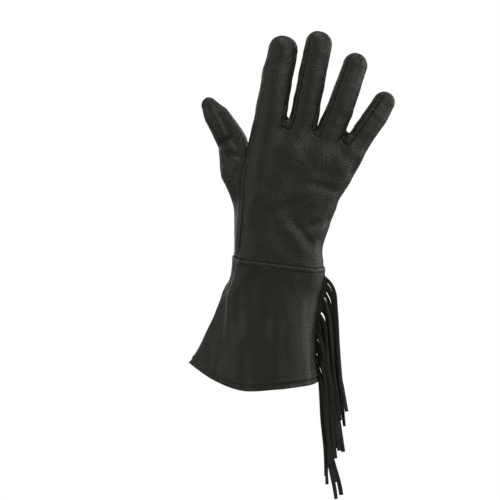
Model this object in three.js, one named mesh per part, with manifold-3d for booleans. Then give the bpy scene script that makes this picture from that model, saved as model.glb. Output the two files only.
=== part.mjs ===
// A right-hand leather gauntlet glove with a fringed cuff, built as the real one is sewn: a back, a palm,
// two finger fronts, three fourchettes between the fingers, a thumb, a three-panel gauntlet cuff and a
// fringe in its outer seam. Millimetres. +Z runs from the wrist to the fingertips, +X to the little finger,
// and the back of the hand faces -Y. The origin is the centre of the wrist.

import * as THREE from "three";
import Module from "manifold-3d";

const { clamp, lerp, smoothstep, degToRad } = THREE.MathUtils;
const vec = (x, y, z) => new THREE.Vector3(x, y, z);
const mix = (a, b, t) => a.clone().lerp(b, t);
const range = (count) => Array.from({ length: count }, (_, i) => i);

// Leather
const LEATHER = 1.4; // thickness of every panel
const SEAM_GAP = 0.4; // clearance between two panels at their seam

// Hand
const HAND_LENGTH = 220; // wrist seam to middle fingertip
const PALM_WIDTH = 100; // across the knuckles
const PALM_DEPTH = 36; // back to front in the middle of the palm
const WRIST_WIDTH = 85;
const WRIST_DEPTH = 50;
const FINGER_LENGTH = 90; // the middle finger, from its crotch to its tip
const FINGER_WIDTH = 26;
const FINGER_DEPTH = 21;
const WEB_DEPTH = 16; // back to front of the leather bridge in a crotch

// Cuff
const CUFF_LENGTH = 121; // wrist seam to hem, on the back
const CUFF_FLARE = 42; // how far the hem stands out past the wrist on the thumb's side
const CUFF_DEPTH = 68; // back to front at the hem

// Fringe
const STRIP_COUNT = 24;
const STRIP_LENGTH = 135; // at the wrist
const STRIP_WIDTH = 4;
const FRINGE_LEATHER = 1.2;
const HEAD_INSIDE = 5; // how far the fringe's head runs into the cuff's outer seam
const HEAD_OUTSIDE = 1.5;

// Cells of the faceted walls
const FINGER_COLUMNS = 6;
const GAP_COLUMNS = 2;
const FINGER_ROWS = 6;
const CAP_ROWS = 3;
const LOW_ROWS = 7; // wrist to thumb crotch
const HIGH_ROWS = 2; // thumb crotch to knuckles
const TONGUE_COLUMNS = 3;
const FOURCHETTE_COLUMNS = 3;
const THUMB_COLUMNS = 10;
const GUSSET_COLUMNS = 6;
const CUFF_ROWS = 7;
const STRIP_ROWS = 7;
const CROTCH_LIFT = 0.8; // rows by which a fourchette's middle starts higher than its edges

// The digits. x and z place a digit's root, in shares of PALM_WIDTH and HAND_LENGTH, and set is how far the
// root lies towards the palm, in shares of PALM_DEPTH. length is a share of FINGER_LENGTH. root, mid and
// tip are its widths, in shares of FINGER_WIDTH. lean is its tilt towards the little finger in degrees, at
// the root and at the tip, curl is how far its tip bends to the palm in shares of its length, and roll
// turns its seams round it, in degrees.
const FINGERS = [
  { name: "index", x: -0.081, z: 0.615, set: 0, length: 0.9, root: 1.17, mid: 1.13, tip: 1.03, leanRoot: 8, leanTip: 14, curl: 0.1, roll: 0 },
  { name: "middle", x: 0.229, z: 0.595, set: 0, length: 1.0, root: 1.02, mid: 0.99, tip: 0.94, leanRoot: 11, leanTip: 12, curl: 0.08, roll: 4 },
  { name: "ring", x: 0.499, z: 0.557, set: 0, length: 0.888, root: 1.02, mid: 0.96, tip: 0.9, leanRoot: 21, leanTip: 17, curl: 0.1, roll: 8 },
  { name: "little", x: 0.723, z: 0.5, set: 0, length: 0.668, root: 0.9, mid: 0.87, tip: 0.76, leanRoot: 37, leanTip: 30, curl: 0.14, roll: 24 },
];
const THUMB = { name: "thumb", x: -0.45, z: 0.51, set: 0.38, length: 0.555, root: 1.0, mid: 0.88, tip: 0.42, leanRoot: -24, leanTip: -30, curl: 0.04, roll: 0 };

// The palm's sections, from the wrist seam up, at z in shares of HAND_LENGTH. left and right are where the
// index's and the little finger's ridges lie, with the other two evenly between them, and wide is a ridge's
// width, in shares of WRIST_WIDTH or PALM_WIDTH. deep is in shares of WRIST_DEPTH or PALM_DEPTH.
const PALM_SECTIONS = [
  { of: "wrist", z: 0.0, left: -0.3, right: 0.3, wide: 0.4, deep: 0.88 },
  { of: "wrist", z: 0.06, left: -0.294, right: 0.276, wide: 0.4, deep: 0.835 },
  { of: "palm", z: 0.18, left: -0.225, right: 0.325, wide: 0.328, deep: 1.0 },
  { of: "palm", z: 0.29, left: -0.2, right: 0.425, wide: 0.32, deep: 0.94 },
];
// The thumb's own ridge: x and z in shares of PALM_WIDTH and HAND_LENGTH, widths in shares of FINGER_WIDTH,
// and set in shares of PALM_DEPTH.
const THUMB_METACARPAL = { rootX: -0.24, rootZ: 0.136, rootSet: 0.16, rootWidth: 1.1, x: -0.395, z: 0.41, set: 0.33, width: 1.27 };

// The top of the web in each crotch, in shares of PALM_WIDTH and HAND_LENGTH.
const WEBS = [
  { x: 0.09, z: 0.645 },
  { x: 0.362, z: 0.594 },
  { x: 0.667, z: 0.562 },
];
const WEB_WIDTH = 0.4; // shares of FINGER_WIDTH

// The seams of the thumb piece, as seen from the back, in shares of PALM_WIDTH and HAND_LENGTH. They start
// from the wrist seam, at these angles round it from the little finger's side by the back.
const BACK_SEAM_START = 158.7;
const PALM_SEAM_START = 250.8;
const BACK_THUMB_SEAM = [
  { x: -0.383, z: 0.164 },
  { x: -0.37, z: 0.337 },
  { x: -0.354, z: 0.39 },
  { x: -0.32, z: 0.444 },
];
const PALM_THUMB_SEAM = [
  { x: -0.11, z: 0.227 },
  { x: -0.13, z: 0.31 },
  { x: -0.17, z: 0.373 },
  { x: -0.25, z: 0.43 },
];
const THUMB_CROTCH = { x: -0.287, z: 0.5, set: 0.12 };

const FINGER_SEAM_ANGLE = 40; // degrees from a finger's side to its seam on the back or front
const TONGUE_BACK_ANGLE = 75; // the same for the tongue of the palm that lines the thumb
const TONGUE_PALM_ANGLE = 66;
const BACK_DIP = 0.026; // how far a crotch seam dips below the roots, in shares of HAND_LENGTH
const PALM_DIP = 0.014;

// How soft the hand's ridges run into each other, below and above the knuckles.
const PALM_SOFTNESS = 5;
const FINGER_SOFTNESS = 1.2;
const KNUCKLE_SLOPE = -0.3; // fall of the knuckle line towards the little finger
const KNUCKLE_HEIGHT = 0.595; // where it crosses the middle of the wrist, in shares of HAND_LENGTH

// The wrist seam's plane: z = rise + slope x + tilt y.
const WRIST_SEAM = { rise: 0.3, slope: -0.118, tilt: 0.13 };

// The cuff's sections, from the wrist seam (at 0) to the hem (at 1). outer is the little finger's side, in
// shares of WRIST_WIDTH. ridge is the fold on the back, valley the seam beside it and edge the far fold of
// the gusset: their x stands out past the wrist in shares of CUFF_FLARE, and their y is in shares of the
// section's half depth, which is depth times half of CUFF_DEPTH.
const CUFF_SECTIONS = [
  { at: 0.0, outer: 0.5, depth: 0.74, ridgeX: -0.08, ridgeY: -0.6, valleyX: 0.0, valleyY: -0.3, edgeX: 0.02, edgeY: 0.0 },
  { at: 0.2, outer: 0.458, depth: 0.77, ridgeX: 0.03, ridgeY: -0.6, valleyX: 0.07, valleyY: -0.22, edgeX: 0.12, edgeY: 0.1 },
  { at: 0.42, outer: 0.42, depth: 0.84, ridgeX: 0.02, ridgeY: -0.6, valleyX: 0.17, valleyY: -0.12, edgeX: 0.34, edgeY: 0.2 },
  { at: 0.62, outer: 0.398, depth: 0.91, ridgeX: -0.03, ridgeY: -0.68, valleyX: 0.27, valleyY: -0.22, edgeX: 0.54, edgeY: 0.2 },
  { at: 0.82, outer: 0.4, depth: 0.96, ridgeX: -0.12, ridgeY: -0.76, valleyX: 0.38, valleyY: -0.4, edgeX: 0.76, edgeY: 0.12 },
  { at: 1.0, outer: 0.44, depth: 1.0, ridgeX: -0.2, ridgeY: -0.84, valleyX: 0.46, valleyY: -0.52, edgeX: 1.0, edgeY: 0.0 },
];
// How far the hem lies below the wrist at each of the folds, in shares of CUFF_LENGTH, from the outer seam
// round the back to the gusset's far edge. The palm's half mirrors the back's.
const HEM_DROP = [0.942, 0.965, 0.987, 1.004, 1.004, 0.92, 0.795];
const WRIST_BLEND = 0.3; // the share of the cuff over which it takes up the wrist's own section

// The fringe. Its strips spring away from the seam, STRIP_SPRING at the wrist and STRIP_SPRING_LOW at the
// hem, and then lie on the strips below them, each of which pushes them out by STRIP_STACK. Below the hem
// they lean out by STRIP_LEAN.
const STRIP_SPRING = 12;
const STRIP_SPRING_LOW = 3;
const STRIP_DROP = 9; // the drop over which a strip springs out
const STRIP_STACK = 0.33;
const STRIP_LEAN = 0.12;
const STRIP_LOW_LENGTH = 0.88; // the last strip's share of STRIP_LENGTH
const STRIP_HANG = 0.94; // the share of a strip's length that it drops
const STRIP_LAYERS = [0, 2, 1, 3]; // the order of the strips from back to front
const LAYER_STEP = 3.4;
const FRINGE_TOP = 0.1; // where the first and the last strip leave the seam, in shares of its length
const FRINGE_BOTTOM = 0.97;

// Reads a table's column at a place between its rows.
function column(rows, key, name, at) {
  const next = rows.findIndex((row) => row[key] >= at);
  if (next <= 0) return rows[Math.max(next, 0)][name];
  const [a, b] = [rows[next - 1], rows[next]];
  return lerp(a[name], b[name], (at - a[key]) / (b[key] - a[key]));
}

// A Catmull-Rom curve through numbers or vectors, at a place given in knots. A closed one runs back to its
// start.
function spline(knots, at, closed = false) {
  const count = knots.length;
  const i = Math.min(Math.floor(at), closed ? count - 1 : count - 2);
  const t = at - i;
  const knot = (n) => knots[closed ? (n + count) % count : clamp(n, 0, count - 1)];
  const weights = [
    (-t + 2 * t ** 2 - t ** 3) / 2,
    (2 - 5 * t ** 2 + 3 * t ** 3) / 2,
    (t + 4 * t ** 2 - 3 * t ** 3) / 2,
    (-(t ** 2) + t ** 3) / 2,
  ];
  const sum = vec(0, 0, 0);
  weights.forEach((weight, n) => sum.addScaledVector(knot(i + n - 1), weight));
  return sum;
}

// The middle of a digit at a share s of its length, with its half width, half depth and direction.
function digitAxis(digit, s) {
  const length = digit.length * FINGER_LENGTH;
  const lean = degToRad(lerp(digit.leanRoot, digit.leanTip, s));
  const chord = (degToRad(digit.leanRoot) + lean) / 2;
  const width = s < 0.5 ? lerp(digit.root, digit.mid, s * 2) : lerp(digit.mid, digit.tip, s * 2 - 1);
  return {
    centre: vec(
      digit.x * PALM_WIDTH + length * s * Math.sin(chord),
      digit.set * PALM_DEPTH + digit.curl * length * s * s,
      digit.z * HAND_LENGTH + length * s * Math.cos(chord),
    ),
    wide: (width * FINGER_WIDTH) / 2,
    deep: (width * FINGER_DEPTH) / 2,
    along: vec(Math.sin(lean), 0, Math.cos(lean)),
    across: vec(Math.cos(lean), 0, -Math.sin(lean)),
  };
}

const capStart = (digit) => 1 - (digit.tip * FINGER_WIDTH) / 2 / (digit.length * FINGER_LENGTH);

// A point near a digit's surface, row by row from its root to the pole of its round tip. angle is in
// degrees, 0 on the side of the little finger, 90 on the back and -90 on the palm.
function digitPoint(digit, row, angle) {
  const s = Math.min(row / FINGER_ROWS, 1) * capStart(digit);
  const cap = (Math.max(row - FINGER_ROWS, 0) / CAP_ROWS) * (Math.PI / 2);
  const { centre, wide, deep, along, across } = digitAxis(digit, s);
  const turn = degToRad(angle);
  return centre
    .addScaledVector(across, wide * Math.cos(cap) * Math.cos(turn))
    .addScaledVector(vec(0, -1, 0), deep * Math.cos(cap) * Math.sin(turn))
    .addScaledVector(along, wide * Math.sin(cap));
}

const DIGIT_ROWS = FINGER_ROWS + CAP_ROWS;
const BELOW_WRIST = -0.2; // the ridges run on below the wrist seam, in shares of HAND_LENGTH

// The glove's soft form: a chain of round ridges under each digit, and a short one in each crotch.
function ridgeChains() {
  const node = (centre, width, depth) => ({ centre, wide: width / 2, deep: depth / 2 });
  const digitNodes = (digit) =>
    [0, 0.33, 0.67, 1].map((share) => digitAxis(digit, share * capStart(digit)));
  const chains = FINGERS.map((digit, i) => {
    const across = i / (FINGERS.length - 1);
    const palm = [{ ...PALM_SECTIONS[0], z: BELOW_WRIST }, ...PALM_SECTIONS].map((row) => {
      const [width, depth] = row.of === "wrist" ? [WRIST_WIDTH, WRIST_DEPTH] : [PALM_WIDTH, PALM_DEPTH];
      const x = lerp(row.left, row.right, across) * width;
      return node(vec(x, 0, row.z * HAND_LENGTH), row.wide * width, row.deep * depth);
    });
    return [...palm, ...digitNodes(digit)];
  });
  const bone = THUMB_METACARPAL;
  const root = vec(bone.rootX * PALM_WIDTH, bone.rootSet * PALM_DEPTH, bone.rootZ * HAND_LENGTH);
  const knuckle = vec(bone.x * PALM_WIDTH, bone.set * PALM_DEPTH, bone.z * HAND_LENGTH);
  chains.push([
    node(root, bone.rootWidth * FINGER_WIDTH, bone.rootWidth * FINGER_WIDTH),
    node(knuckle, bone.width * FINGER_WIDTH, bone.width * FINGER_WIDTH * 0.9),
    ...digitNodes(THUMB),
  ]);
  for (const web of WEBS) {
    const wide = WEB_WIDTH * FINGER_WIDTH;
    const top = vec(web.x * PALM_WIDTH, 0, web.z * HAND_LENGTH - wide / 2);
    const foot = vec(top.x * 0.9, 0, top.z - FINGER_WIDTH);
    chains.push([node(top, wide, WEB_DEPTH), node(foot, wide * 1.6, WEB_DEPTH)]);
  }
  return chains;
}

const CHAINS = ridgeChains();

// How far a point lies outside one ridge, negative inside it. The depth is scaled so that the ridge is
// elliptical.
function outsideRidge(a, b, p) {
  const [ux, uz] = [b.centre.x - a.centre.x, b.centre.z - a.centre.z];
  const t = clamp(((p.x - a.centre.x) * ux + (p.z - a.centre.z) * uz) / (ux * ux + uz * uz), 0, 1);
  const wide = lerp(a.wide, b.wide, t);
  const dy = ((p.y - lerp(a.centre.y, b.centre.y, t)) * wide) / lerp(a.deep, b.deep, t);
  return Math.hypot(p.x - a.centre.x - ux * t, dy, p.z - a.centre.z - uz * t) - wide;
}

// How far a point lies outside the whole soft form: the ridges run into each other, softly in the palm.
function outside(p) {
  const height = p.z - (KNUCKLE_HEIGHT * HAND_LENGTH + KNUCKLE_SLOPE * p.x);
  const soft = lerp(PALM_SOFTNESS, FINGER_SOFTNESS, smoothstep(height, -FINGER_WIDTH, 0));
  const sum = CHAINS.reduce((total, chain) => {
    const nearest = Math.min(...chain.slice(1).map((b, i) => outsideRidge(chain[i], b, p)));
    return total + Math.exp(-nearest / soft);
  }, 0);
  return -soft * Math.log(sum);
}

const PROBE = 0.05;

// The slope of outside() at a point, which is square to the surface.
function slope(p) {
  const along = (x, y, z) =>
    (outside(vec(p.x + x, p.y + y, p.z + z)) - outside(vec(p.x - x, p.y - y, p.z - z))) / (2 * PROBE);
  return vec(along(PROBE, 0, 0), along(0, PROBE, 0), along(0, 0, PROBE));
}

// Moves a point onto the soft form's surface.
function onSkin(guess) {
  const p = guess.clone();
  for (const step of range(8)) {
    const steep = slope(p);
    p.addScaledVector(steep, -outside(p) / Math.max(steep.lengthSq(), 0.2));
    if (step > 3 && Math.abs(outside(p)) < 1e-4) break;
  }
  return p;
}

const wristZ = (p) => WRIST_SEAM.rise + WRIST_SEAM.slope * p.x + WRIST_SEAM.tilt * p.y;

// Moves a point onto the wrist seam: on the surface and in the seam's plane.
function onWrist(guess) {
  let p = guess;
  for (const _ of range(6)) {
    p.z = wristZ(p);
    p = onSkin(p);
  }
  p.z = wristZ(p);
  return p;
}

// A smooth sheet between four border curves, each a list of points: its guess is a Coons patch, which is
// then moved onto the surface. rows run up the left and right borders, columns along the bottom and top.
function patch(left, right, bottom, top) {
  const [rows, columns] = [left.length - 1, bottom.length - 1];
  return range(rows + 1).map((j) =>
    range(columns + 1).map((i) => {
      if (i === 0) return left[j];
      if (i === columns) return right[j];
      if (j === 0) return bottom[i];
      if (j === rows) return top[i];
      const [u, v] = [i / columns, j / rows];
      const corners = mix(mix(left[0], right[0], u), mix(left[rows], right[rows], u), v);
      return onSkin(mix(left[j], right[j], u).add(mix(bottom[i], top[i], v)).sub(corners));
    }),
  );
}

const DIGITS = [...FINGERS, THUMB];
const tips = new Map(DIGITS.map((digit) => [digit, onSkin(digitPoint(digit, DIGIT_ROWS, 0))]));
const digitColumns = new Map();

// The points up a digit at one angle round it, from its root to its tip. Panels that meet there share them.
function digitColumn(digit, angle) {
  const turn = (angle + 360) % 360;
  const key = `${digit.name} ${turn.toFixed(3)}`;
  if (!digitColumns.has(key)) {
    const side = range(DIGIT_ROWS).map((row) => onSkin(digitPoint(digit, row, turn)));
    digitColumns.set(key, [...side, tips.get(digit)]);
  }
  return digitColumns.get(key);
}

// Rows of points up a digit between two angles.
function digitSheet(digit, from, to, columns) {
  const sides = range(columns + 1).map((i) => digitColumn(digit, lerp(from, to, i / columns)));
  return range(DIGIT_ROWS + 1).map((row) => sides.map((side) => side[row]));
}

// The angles of a finger's four seams. The index's thumb side and the little finger's outer side have one
// seam each, where the back meets the palm.
const SEAMS = FINGERS.map((finger, i) => ({
  leftBack: 180 - (i === 0 ? 0 : FINGER_SEAM_ANGLE) - finger.roll,
  leftPalm: 180 + (i === 0 ? 0 : FINGER_SEAM_ANGLE) - finger.roll,
  rightBack: (i === 3 ? 0 : FINGER_SEAM_ANGLE) - finger.roll,
  rightPalm: 360 - (i === 3 ? 0 : FINGER_SEAM_ANGLE) - finger.roll,
}));

const fingerBacks = FINGERS.map((finger, i) =>
  digitSheet(finger, SEAMS[i].leftBack, SEAMS[i].rightBack, FINGER_COLUMNS),
);
const fingerFronts = FINGERS.map((finger, i) =>
  digitSheet(finger, SEAMS[i].leftPalm, SEAMS[i].rightPalm, FINGER_COLUMNS),
);

// The seam round the foot of a crotch, between the roots of two fingers, without its ends.
function crotchSeam(sheets, i, dip) {
  const [a, b] = [sheets[i][0].at(-1), sheets[i + 1][0][0]];
  return range(GAP_COLUMNS - 1).map((n) => {
    const t = (n + 1) / GAP_COLUMNS;
    const foot = mix(a, b, t);
    foot.z -= dip * HAND_LENGTH * Math.sin(Math.PI * t);
    return onSkin(foot);
  });
}

const backCrotches = WEBS.map((_, i) => crotchSeam(fingerBacks, i, BACK_DIP));
const palmCrotches = WEBS.map((_, i) => crotchSeam(fingerFronts, i, PALM_DIP));

// The row across the knuckles: the fingers' roots and the crotch seams between them.
const knuckleRow = (sheets, crotches) =>
  sheets.flatMap((sheet, i) => (i < WEBS.length ? [...sheet[0], ...crotches[i]] : sheet[0]));

// The point of the surface that is seen at (x, z) from the back (side -1) or from the palm (side 1).
function seenAt(x, z, side) {
  let [near, far] = [0, 3 * PALM_DEPTH];
  for (const _ of range(24)) {
    const middle = (near + far) / 2;
    if (outside(vec(x, side * middle, z)) < 0) near = middle;
    else far = middle;
  }
  return vec(x, side * near, z);
}

// A seam across the hand in even steps, from its own point of the wrist seam.
function handSeam(table, side, cells, start) {
  const rows = table.map((row) => vec(row.x * PALM_WIDTH, 0, row.z * HAND_LENGTH));
  const knots = [vec(start.x, 0, start.z), ...rows];
  const steps = new THREE.CatmullRomCurve3(knots).getSpacedPoints(cells);
  return [start, ...steps.slice(1).map((p) => seenAt(p.x, p.z, side))];
}

// A point of the wrist seam, at an angle from the little finger's side round by the back.
function wristPoint(angle) {
  const turn = degToRad(angle);
  return onWrist(vec((WRIST_WIDTH / 2) * Math.cos(turn), (-WRIST_DEPTH / 2) * Math.sin(turn), 0));
}


const WRIST_COLUMNS = FINGERS.length * FINGER_COLUMNS + WEBS.length * GAP_COLUMNS;
const THENAR_COLUMNS = THUMB_COLUMNS - GUSSET_COLUMNS;
const wristAngles = [
  ...range(WRIST_COLUMNS).map((i) => (BACK_SEAM_START * i) / WRIST_COLUMNS),
  ...range(GUSSET_COLUMNS).map((i) => lerp(BACK_SEAM_START, 360 - BACK_SEAM_START, i / GUSSET_COLUMNS)),
  ...range(THENAR_COLUMNS).map((i) => lerp(360 - BACK_SEAM_START, PALM_SEAM_START, i / THENAR_COLUMNS)),
  ...range(WRIST_COLUMNS).map((i) => lerp(PALM_SEAM_START, 360, i / WRIST_COLUMNS)),
];
const wrist = wristAngles.map(wristPoint);
const backWrist = wrist.slice(0, WRIST_COLUMNS + 1).reverse();
const thumbWrist = wrist.slice(WRIST_COLUMNS, WRIST_COLUMNS + THUMB_COLUMNS + 1);
const palmWrist = [...wrist.slice(WRIST_COLUMNS + THUMB_COLUMNS), wrist[0]];

// The seams between the back, the thumb and the palm.
const PALM_ROWS = LOW_ROWS - TONGUE_COLUMNS;
const backThumbSeam = handSeam(BACK_THUMB_SEAM, -1, LOW_ROWS, backWrist[0]);
const palmThumbSeam = handSeam(PALM_THUMB_SEAM, 1, PALM_ROWS, palmWrist[0]);
const crotch = vec(
  THUMB_CROTCH.x * PALM_WIDTH,
  THUMB_CROTCH.set * PALM_DEPTH,
  THUMB_CROTCH.z * HAND_LENGTH,
);
const tongueFoot = [
  palmThumbSeam.at(-1),
  onSkin(mix(crotch, palmThumbSeam.at(-1), 0.33)),
  onSkin(mix(crotch, backThumbSeam.at(-1), 0.33)),
  backThumbSeam.at(-1),
];
const indexFoot = fingerBacks[0][0][0];
const upperSeam = [
  ...range(HIGH_ROWS - 1).map((n) => onSkin(mix(backThumbSeam.at(-1), indexFoot, (n + 1) / HIGH_ROWS))),
  indexFoot,
];
const littleFoot = fingerBacks[3][0].at(-1);
const SIDE_ROWS = LOW_ROWS + HIGH_ROWS;
const outerSeam = [
  wrist[0],
  ...range(SIDE_ROWS - 1).map((n) => onSkin(mix(wrist[0], littleFoot, (n + 1) / SIDE_ROWS))),
  littleFoot,
];

const backHand = patch(
  [...backThumbSeam, ...upperSeam],
  outerSeam,
  backWrist,
  knuckleRow(fingerBacks, backCrotches),
);
const palmHand = patch(
  [...palmThumbSeam, ...tongueFoot.slice(1), ...upperSeam],
  outerSeam,
  palmWrist,
  knuckleRow(fingerFronts, palmCrotches),
);

// The thumb: its outer piece, and the tongue of the palm that lines its inner side.
const thumbOuter = digitSheet(THUMB, TONGUE_BACK_ANGLE, 360 - TONGUE_PALM_ANGLE, THUMB_COLUMNS);
const thumbInner = digitSheet(THUMB, 360 - TONGUE_PALM_ANGLE, 360 + TONGUE_BACK_ANGLE, TONGUE_COLUMNS);
const palmThumbTop = palmThumbSeam.at(-1);
const thumbRoot = patch(
  [...backThumbSeam, thumbOuter[0][0]],
  [...palmThumbSeam, ...range(TONGUE_COLUMNS).map(() => palmThumbTop), thumbOuter[0].at(-1)],
  thumbWrist,
  thumbOuter[0],
);

// A fourchette: down the side of one finger, over the web and up the side of the next.
function fourchette(i) {
  const side = (finger, from, to, back, palm) =>
    range(DIGIT_ROWS + 1).map((row) =>
      range(FOURCHETTE_COLUMNS + 1).map((n) => {
        if (n === 0) return back[row];
        if (n === FOURCHETTE_COLUMNS) return palm[row];
        if (row === DIGIT_ROWS) return tips.get(finger);
        const lifted = Math.max(row, lerp(CROTCH_LIFT, FINGER_ROWS, row / FINGER_ROWS));
        return onSkin(digitPoint(finger, lifted, lerp(from, to, n / FOURCHETTE_COLUMNS)));
      }),
    );
  const [seams, next] = [SEAMS[i], SEAMS[i + 1]];
  const near = side(
    FINGERS[i],
    seams.rightBack,
    seams.rightPalm - 360,
    fingerBacks[i].map((row) => row.at(-1)),
    fingerFronts[i].map((row) => row.at(-1)),
  );
  const far = side(
    FINGERS[i + 1],
    next.leftBack,
    next.leftPalm,
    fingerBacks[i + 1].map((row) => row[0]),
    fingerFronts[i + 1].map((row) => row[0]),
  );
  const web = WEBS[i];
  const bridge = backCrotches[i].map((foot, n) =>
    range(FOURCHETTE_COLUMNS + 1).map((c) => {
      const palmFoot = palmCrotches[i][n];
      if (c === 0) return foot;
      if (c === FOURCHETTE_COLUMNS) return palmFoot;
      const across = (c / FOURCHETTE_COLUMNS - 0.5) * WEB_DEPTH;
      const x = lerp(near[0][c].x, far[0][c].x, (n + 1) / GAP_COLUMNS);
      return onSkin(vec(x, across, web.z * HAND_LENGTH));
    }),
  );
  return [...near.reverse(), ...bridge, ...far];
}

// The cuff's section at a share of its length, through twelve knots from the outer seam round by the back.
function cuffKnots(at) {
  const read = (name) => column(CUFF_SECTIONS, "at", name, at);
  const outer = read("outer") * WRIST_WIDTH;
  const deep = (read("depth") * CUFF_DEPTH) / 2;
  const flank = (name) =>
    vec(-WRIST_WIDTH / 2 - read(`${name}X`) * CUFF_FLARE, read(`${name}Y`) * deep, 0);
  const round = [0, 32, 64, 96].map((angle) =>
    vec(outer * Math.cos(degToRad(angle)), -deep * Math.sin(degToRad(angle)), 0),
  );
  const back = [...round, flank("ridge"), flank("valley"), flank("edge")];
  const all = [...back, ...back.slice(1, -1).reverse().map((p) => vec(p.x, -p.y, 0))];
  const drops = [...HEM_DROP, ...HEM_DROP.slice(1, -1).reverse()];
  all.forEach((p, i) => (p.z = -drops[i] * CUFF_LENGTH));
  return all;
}

const backValley = WRIST_COLUMNS;
const palmValley = WRIST_COLUMNS + GUSSET_COLUMNS;

// The place on the section's curve of a column of the cuff, in knots: the gusset's seams are at knots 5 and
// 7.
function knotOf(column) {
  if (column <= backValley) return (5 * column) / backValley;
  if (column <= palmValley) return 5 + (2 * (column - backValley)) / GUSSET_COLUMNS;
  return 7 + (5 * (column - palmValley)) / (wrist.length - palmValley);
}

// The cuff's rows of points, from the wrist seam to the hem.
const cuffRows = range(CUFF_ROWS + 1).map((row) => {
  if (row === 0) return wrist;
  const at = row / CUFF_ROWS;
  const knots = cuffKnots(at);
  const own = smoothstep(at, 0, WRIST_BLEND);
  return wrist.map((top, i) => {
    const p = spline(knots, knotOf(i), true);
    const below = mix(vec(top.x, top.y, 0), vec(p.x, p.y, 0), own);
    below.z = lerp(top.z, p.z, at);
    return below;
  });
});

// The direction that leads straight out of the leather at each point.
const outwards = new Map();
function outward(p) {
  if (!outwards.has(p)) outwards.set(p, slope(p).normalize());
  return outwards.get(p);
}
cuffRows.slice(1).forEach((points, n) => {
  points.forEach((p, i) => {
    const [before, after] = [points.at(i - 1), points[(i + 1) % points.length]];
    const [above, below] = [cuffRows[n][i], (cuffRows[n + 2] ?? points)[i]];
    outwards.set(p, after.clone().sub(before).cross(below.clone().sub(above)).normalize());
  });
});

function cuffPanel(from, to) {
  return cuffRows.map((row) => range(to - from + 1).map((n) => row[(from + n) % row.length]));
}

const headSeam = cuffRows.map((row) => row[0]);
const HEAD_CLEARANCE = FRINGE_LEATHER / 2 + 0.3;

function addMesh(name, points, faces, colour = 0x2c2b29, roughness = 0.62) {
  const geometry = new THREE.BufferGeometry().setFromPoints(points);
  geometry.setIndex(faces.flat());
  geometry.computeVertexNormals();
  const material = new THREE.MeshStandardMaterial({ color: colour, roughness, metalness: 0 });
  const mesh = new THREE.Mesh(geometry, material);
  mesh.name = name;
  group.add(mesh);
}

// Makes a panel from grids of surface points: draws its edges back from its seams, and gives it its
// thickness.
function addPanel(name, grids) {
  const numbers = new Map();
  const number = (p) => {
    if (!numbers.has(p)) numbers.set(p, numbers.size);
    return numbers.get(p);
  };
  let faces = [];
  for (const grid of grids) {
    for (const [j, row] of grid.slice(1).entries()) {
      for (const i of range(row.length - 1)) {
        const [a, b, c, d] = [grid[j][i], grid[j][i + 1], row[i + 1], row[i]].map(number);
        faces.push([a, b, c], [a, c, d]);
      }
    }
  }
  faces = faces.filter((face) => new Set(face).size === 3);
  const points = [...numbers.keys()];
  const facing = faces.reduce((sum, [a, b, c]) => {
    const edge = points[b].clone().sub(points[a]);
    return sum + edge.cross(points[c].clone().sub(points[a])).dot(outward(points[a]));
  }, 0);
  if (facing < 0) faces = faces.map(([a, b, c]) => [a, c, b]);

  const edges = faces.flatMap(([a, b, c]) => [[a, b], [b, c], [c, a]]);
  const known = new Set(edges.map(([a, b]) => `${a} ${b}`));
  const border = edges.filter(([a, b]) => !known.has(`${b} ${a}`));
  const before = new Map(border.map(([a, b]) => [b, a]));
  const clearance = (a, b) =>
    headSeam.includes(points[a]) && headSeam.includes(points[b]) ? HEAD_CLEARANCE : SEAM_GAP / 2;
  const inward = (a, b, normal) => normal.clone().cross(points[b].clone().sub(points[a])).normalize();
  const outer = points.map((p) => p.clone());
  for (const [a, b] of border) {
    const last = before.get(a);
    const normal = outward(points[a]);
    const [n1, n2] = [inward(last, a, normal), inward(a, b, normal)];
    const [g1, g2] = [clearance(last, a), clearance(a, b)];
    const c = Math.min(n1.dot(n2), 0.999);
    const spread = Math.max(1 - c * c, 1e-3);
    if (c > 0.95) outer[a].addScaledVector(n1.add(n2).normalize(), (g1 + g2) / 2);
    else outer[a].addScaledVector(n1, (g1 - c * g2) / spread).addScaledVector(n2, (g2 - c * g1) / spread);
  }
  const inner = outer.map((p, i) => p.clone().addScaledVector(outward(points[i]), -LEATHER));
  const count = points.length;
  const lining = faces.map(([a, b, c]) => [c + count, b + count, a + count]);
  // Two panels that share an edge fold its wall the same way.
  const walls = border.flatMap(([a, b]) => {
    if (points[a].z < points[b].z) return [[b, a, a + count], [b, a + count, b + count]];
    return [[b, a, b + count], [a, a + count, b + count]];
  });
  addMesh(name, [...outer, ...inner], [...faces, ...lining, ...walls]);
}

const group = new THREE.Group();
addPanel("back_panel", [backHand, ...fingerBacks]);
addPanel("palm_panel", [palmHand, fingerFronts[0], fingerFronts[3], [tongueFoot, ...thumbInner]]);
addPanel("finger_front_middle", [fingerFronts[1]]);
addPanel("finger_front_ring", [fingerFronts[2]]);
addPanel("fourchette_index_middle", [fourchette(0)]);
addPanel("fourchette_middle_ring", [fourchette(1)]);
addPanel("fourchette_ring_little", [fourchette(2)]);
addPanel("thumb_piece", [thumbRoot, thumbOuter]);
addPanel("cuff_back", [cuffPanel(0, backValley)]);
addPanel("cuff_gusset", [cuffPanel(backValley, palmValley)]);
addPanel("cuff_palm", [cuffPanel(palmValley, wrist.length)]);

// The fringe's head and strips are lofts through four-cornered sections.
const wasm = await Module();
wasm.setup();
const { Manifold, Mesh } = wasm;

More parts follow.
